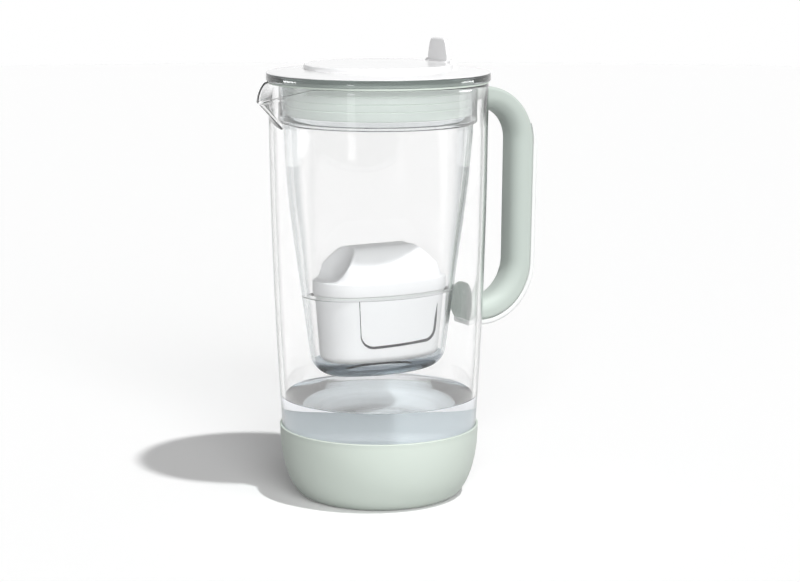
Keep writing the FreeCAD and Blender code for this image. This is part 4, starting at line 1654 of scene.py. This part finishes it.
        # Dark strips of painted shadow round the panels.
        paint.dress(self.build_lines(cup.data), ["panel_painted_shadow"], body)
        paint.dress(cup, ["cartridge_white"], body, ["cartridge_shell"])
        paint.dress(self.build_gasket(), ["gasket_pale"], body, ["cartridge_gasket"])
        for node in self.screen_nodes:
            paint.dress_node(node, "screen")
        paint.dress_node("filter_granules", "granules")


@dataclass
class FillFlap:
    """Round flap over the fill opening, with its hinge barrel and thumb lever."""

    radius: float = 48.0
    under: float = 279.1
    top: float = 282.1
    edge: float = 0.9
    disc_insets: tuple[float, ...] = (30.0, 15.0, 5.0)
    plug_out: float = 39.1
    plug_in: float = 37.5
    plug_under: float = 275.7
    notch: float = 42.6
    tongue: float = 45.2
    tongue_half: float = 12.0
    hinge: Flat = (46.0, 281.5)
    barrel: float = 2.0
    lever_foot: float = 281.0
    lever_top: float = 297.5
    lever_front: float = 43.8
    lever_back: float = 47.0
    lever_half: float = 13.0
    lever_taper: float = 0.26
    lever_corner: float = 4.0
    lever_edge: float = 1.5
    lever_front_edge: float = 0.6
    lever_bend_share: float = 0.48
    lever_rows: int = 22
    ramp: float = 1.6
    columns: int = 360

    def reach(self, angle: float) -> float:
        """Distance of the flap's edge from the axis, cut back beside the hinge.

        Args:
            angle: Direction from +X.

        Returns:
            The distance in that direction.
        """
        across = math.cos(angle)
        if across * self.radius <= self.notch:
            return self.radius
        on_tongue = abs(math.tan(angle)) * self.notch < self.tongue_half
        return (self.tongue if on_tongue else self.notch) / across

    def edge_ring(self, inset: float, height: float) -> list[Point]:
        """Ring round the flap's edge."""
        polar = [(self.reach(a) - inset, a) for a in steps_between(0, TURN, self.columns)[:-1]]
        return [(reach * math.cos(a), reach * math.sin(a), height) for reach, a in polar]

    def add_disc(self, skin: Skin) -> None:
        """Add the disc and the plug ring under it.

        Args:
            skin: Mesh of the flap.
        """
        skin.ring(circle(0.0, self.top, self.columns))
        for inset in self.disc_insets:
            skin.ring(self.edge_ring(inset, self.top))
        for inset, drop in quarter(self.edge, 5):
            skin.ring(self.edge_ring(inset, self.top - drop))
        skin.ring(self.edge_ring(0.0, self.under))
        for radius, height in (
            (self.plug_out, self.under),
            (self.plug_out, self.plug_under),
            (self.plug_in, self.plug_under),
            (self.plug_in, self.under),
            (0.0, self.under),
        ):
            skin.ring(circle(radius, height, self.columns))
        skin.rings = []

    def add_lever(self, skin: Skin) -> None:
        """Add the thumb lever, which sweeps down into the disc in front.

        Args:
            skin: Mesh of the flap.
        """
        ramp_top = self.top + self.ramp
        levels = steps_between(self.lever_foot, ramp_top, self.lever_rows)
        levels += steps_between(ramp_top, self.lever_top, self.lever_rows)[1:]
        for level in levels:
            half = min(self.lever_half - self.lever_taper * max(level - self.top, 0.0), self.tongue_half)
            half -= tuck(self.lever_corner, level - self.lever_top + self.lever_corner)
            thin = tuck(self.lever_edge, level - self.lever_top + self.lever_edge)
            front = self.lever_front - tuck(self.ramp, ramp_top - level) + thin
            back = self.lever_back - thin
            bend = (back - front) * self.lever_bend_share
            near, far = min(self.lever_front_edge, bend), min(self.lever_edge, bend)
            corners = [Corner(front, -half, near), Corner(back, -half, far)]
            corners += [Corner(back, half, far), Corner(front, half, near)]
            skin.ring([(x, y, level) for x, y in filleted(corners, closed=True)])
        skin.cap()

    def build(self) -> bpy.types.Object:
        """The whole flap.

        Returns:
            The new object.
        """
        skin = Skin()
        self.add_disc(skin)
        barrel = arc(self.hinge, self.barrel, 0.0, TURN, 32)[:-1]
        skin.bar(barrel, (-self.tongue_half, self.tongue_half))
        self.add_lever(skin)
        return skin.to_piece("fill_flap_lever", 50)


@dataclass
class Lid:
    """White lid disc on its green skirt and seal, with the fill flap."""

    disc_under: float = 276.5
    disc_radius: float = 72.0
    disc_top: float = 279.1
    disc_edge: float = 277.1
    disc_rounds: tuple[float, ...] = (0.3, 0.2, 0.3, 6.0, 0.5)
    land: float = 50.5
    hole: float = 40.0
    skirt_out: float = 61.6
    skirt_in: float = 58.4
    skirt_lift: float = 0.6
    tongue: float = 59.8
    parting: float = 260.6
    seal_under: float = 250.0
    seal_round: float = 0.2
    edge: float = 0.7
    skirt_groove: float = 265.6
    seal_groove: float = 255.8
    groove_depth: float = 0.45
    groove_half: float = 0.5
    groove_round: float = 0.1
    lug_width: float = 3.3
    lug_from: float = 12.35
    lug_radius: float = 2.2
    lug_under: float = 277.5
    flap: FillFlap = field(default_factory=FillFlap)

    def groove(self, height: float) -> list[Corner]:
        """Corners of a fine groove round the skirt or seal."""
        shelf = [(-self.groove_half, 0.0), (0.0, self.groove_depth), (self.groove_half, 0.0)]
        return [Corner(self.skirt_out - depth, height + up, self.groove_round) for up, depth in shelf]

    def build_disc(self) -> bpy.types.Object:
        """White disc that falls away to its edge, with the two lugs of the hinge.

        Returns:
            The new object.
        """
        spots = (
            (self.hole, self.disc_under),
            (self.disc_radius, self.disc_under),
            (self.disc_radius, self.disc_edge),
            (self.land, self.disc_top),
            (self.hole, self.disc_top),
        )
        corners = [Corner(*spot, rounded) for spot, rounded in zip(spots, self.disc_rounds)]
        skin = Skin()
        for radius, height in filleted(corners, closed=True):
            skin.ring(circle(radius, height, 256))
        skin.close()
        x = self.flap.hinge[0]
        arch = arc(self.flap.hinge, self.lug_radius, 0.0, math.pi, 20)
        arch += [(x - self.lug_radius, self.lug_under), (x + self.lug_radius, self.lug_under)]
        for side in (-1, 1):
            skin.bar(arch, (side * self.lug_from, side * (self.lug_from + self.lug_width)))
        return skin.to_piece("lid_disc")

    def build_skirt(self) -> bpy.types.Object:
        """Green ring under the disc, with the tongue that holds the seal.

        Returns:
            The new object.
        """
        corners = [
            Corner(self.skirt_in, self.seal_under + self.skirt_lift),
            Corner(self.tongue, self.seal_under + self.skirt_lift),
            Corner(self.tongue, self.parting),
            Corner(self.skirt_out, self.parting, self.edge),
            *self.groove(self.skirt_groove),
            Corner(self.skirt_out, self.disc_under),
            Corner(self.skirt_in, self.disc_under),
        ]
        return turned("lid_skirt_ring", filleted(corners, closed=True))

    def build_seal(self) -> bpy.types.Object:
        """Sealing ring below the skirt.

        Returns:
            The new object.
        """
        corners = [
            Corner(self.tongue, self.seal_under, self.seal_round),
            Corner(self.skirt_out, self.seal_under, self.edge),
            *self.groove(self.seal_groove),
            Corner(self.skirt_out, self.parting, self.edge),
            Corner(self.tongue, self.parting, self.seal_round),
        ]
        return turned("lid_seal_ring", filleted(corners, closed=True))

    def make(self, paint: Paintbox) -> None:
        """Build and dress the lid.

        Args:
            paint: Finishes.
        """
        # The skirt and seal take pale mint, lightened as painted light for the shade under the disc.
        paint.dress(self.build_skirt(), ["skirt_painted_light_mint"], Body.LID, ["lid_skirt"])
        paint.dress(self.build_seal(), ["seal_painted_light_mint"], Body.LID, ["lid_seal"])
        paint.dress(self.build_disc(), ["lid_white"], Body.LID, ["lid_top"])
        paint.dress(self.flap.build(), ["lid_white"], Body.FLAP, ["fill_flap"])
        paint.dress_node("flap_hinge_pin", "pin_steel")


# Studio


@dataclass(frozen=True)
class FarLamp:
    """Even light from one direction."""

    name: str
    towards: Point
    spread_deg: float
    strength: float
    in_gloss: bool = True

    def make(self) -> None:
        """Place the lamp."""
        lamp = bpy.data.lights.new(self.name, "SUN")
        lamp.energy = self.strength
        lamp.angle = math.radians(self.spread_deg)
        piece = bpy.data.objects.new(self.name, lamp)
        piece.rotation_euler = Vector(self.towards).to_track_quat("Z", "Y").to_euler()
        piece.visible_glossy = self.in_gloss
        piece.visible_transmission = self.in_gloss
        bpy.context.scene.collection.objects.link(piece)


@dataclass(frozen=True)
class SoftLamp:
    """Flat lamp that faces the jug."""

    name: str
    turn_deg: float
    distance: float
    height: float
    width: float
    tall: float
    radiance: float
    lights: bool = True
    highest_aim: float = 200.0

    def make(self, camera_turn_deg: float) -> None:
        """Place the lamp.

        Args:
            camera_turn_deg: Azimuth of the camera, which turns are counted from, to its right.
        """
        lamp = bpy.data.lights.new(self.name, "AREA")
        lamp.shape = "RECTANGLE"
        lamp.size = self.width * MM
        lamp.size_y = self.tall * MM
        lamp.energy = self.radiance * math.pi * lamp.size * lamp.size_y
        turn = math.radians(camera_turn_deg + self.turn_deg)
        spot = Vector((math.sin(turn), -math.cos(turn), 0)) * self.distance + Vector((0, 0, self.height))
        aim = Vector((0, 0, min(self.height, self.highest_aim)))
        piece = bpy.data.objects.new(self.name, lamp)
        piece.location = spot * MM
        piece.rotation_euler = (spot - aim).to_track_quat("Z", "Y").to_euler()
        piece.visible_camera = False
        piece.visible_diffuse = self.lights
        piece.visible_transmission = self.lights
        bpy.context.scene.collection.objects.link(piece)


@dataclass
class Studio:
    """Pale floor, soft light and the camera of the picture."""

    floor_radius: float = 4000.0
    floor_shares: tuple[float, ...] = (0.0, 0.1, 0.3, 0.6, 1.0)
    floor: FloorFinish = FloorFinish("floor_white", (0.98, 0.98, 0.98), 0.08, (0.35, 0.35, 0.35))
    fill: float = 0.1
    suns: tuple[FarLamp, ...] = (
        FarLamp("key", (38.6, -129.0, 278.0), 2.2, 1.9),
        FarLamp("front", (-30.0, -90.0, 38.0), 40.0, 2.36, in_gloss=False),
    )
    lamps: tuple[SoftLamp, ...] = (
        SoftLamp("strip_left", -26.4, 950, 150, 140, 90, 1.5),
        SoftLamp("side_left", -98, 900, 150, 320, 90, 1.5),
        SoftLamp("side_right", 100, 900, 150, 320, 90, 1.3),
        SoftLamp("glint_middle", -26.4, 950, 218, 140, 40, 9.0, lights=False),
        SoftLamp("glint_left", -98, 900, 218, 320, 40, 12.0, lights=False),
        SoftLamp("glint_right", 100, 900, 218, 320, 40, 12.0, lights=False),
    )
    azimuth_deg: float = -30.0
    pitch_deg: float = 10.0
    distance: float = 1404.6
    camera_height: float = 382.0
    camera_right: float = 13.8
    focal_px: float = 2190.0
    image_width: int = 800
    sensor_width: float = 36.0
    clip: Flat = (0.01, 100.0)

    def build_floor(self, paint: Paintbox) -> None:
        """Wide matt floor.

        Args:
            paint: Finishes.
        """
        skin = Skin()
        for share in self.floor_shares:
            skin.ring(circle(self.floor_radius * share, 0, 96))
        floor = skin.to_piece("floor")
        floor.data.materials.append(self.floor.material(paint.groups))

    def build_world(self) -> None:
        """World that is white where it is seen and plain where it lights."""
        world = bpy.data.worlds.new("studio")
        world.use_nodes = True
        world.node_tree.nodes.clear()
        nodes = Nodes(world.node_tree)
        lights = nodes.add("Background", {"Color": solid(WHITE), "Strength": self.fill})
        shown = nodes.add("Background", {"Color": solid(WHITE), "Strength": 1.0})
        path = nodes.add("LightPath")
        direct = nodes.math("LESS_THAN", path.outputs["Diffuse Depth"], 0.5)
        share = nodes.math("MULTIPLY", nodes.seen(path), direct)
        mixed = nodes.mix(share, lights.outputs["Background"], shown.outputs["Background"])
        nodes.feed(nodes.add("OutputWorld"), {"Surface": mixed})
        bpy.context.scene.world = world

    def build_camera(self) -> None:
        """Camera at the picture's angle."""
        turn = math.radians(self.azimuth_deg)
        right = Vector((math.cos(turn), math.sin(turn), 0))
        ahead = Vector((-math.sin(turn), math.cos(turn), 0))
        lens = bpy.data.cameras.new("camera")
        lens.sensor_width = self.sensor_width
        lens.lens = self.focal_px * self.sensor_width / self.image_width
        lens.clip_start, lens.clip_end = self.clip
        camera = bpy.data.objects.new("camera", lens)
        spot = ahead * -self.distance + right * self.camera_right + Vector((0, 0, self.camera_height))
        camera.location = spot * MM
        camera.rotation_euler = (math.radians(90 - self.pitch_deg), 0, turn)
        bpy.context.scene.collection.objects.link(camera)
        bpy.context.scene.camera = camera

    def make(self, paint: Paintbox) -> None:
        """Build the studio: floor, world, lamps and camera.

        Args:
            paint: Finishes.
        """
        bpy.context.scene.view_settings.view_transform = "Standard"
        self.build_floor(paint)
        self.build_world()
        for sun in self.suns:
            sun.make()
        for soft in self.lamps:
            soft.make(self.azimuth_deg)
        self.build_camera()


def main() -> None:
    """Build the pitcher and its studio."""
    logging.basicConfig(level=logging.INFO, format="%(message)s")
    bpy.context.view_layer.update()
    paint = Paintbox()
    jug = GlassJug()
    for part in (FootSleeve(jug=jug), jug, Handle(jug=jug), Hopper(), Cartridge(), Lid(), Studio()):
        log.info("making %s", type(part).__name__)
        part.make(paint)


if __name__ == "__main__":
    main()
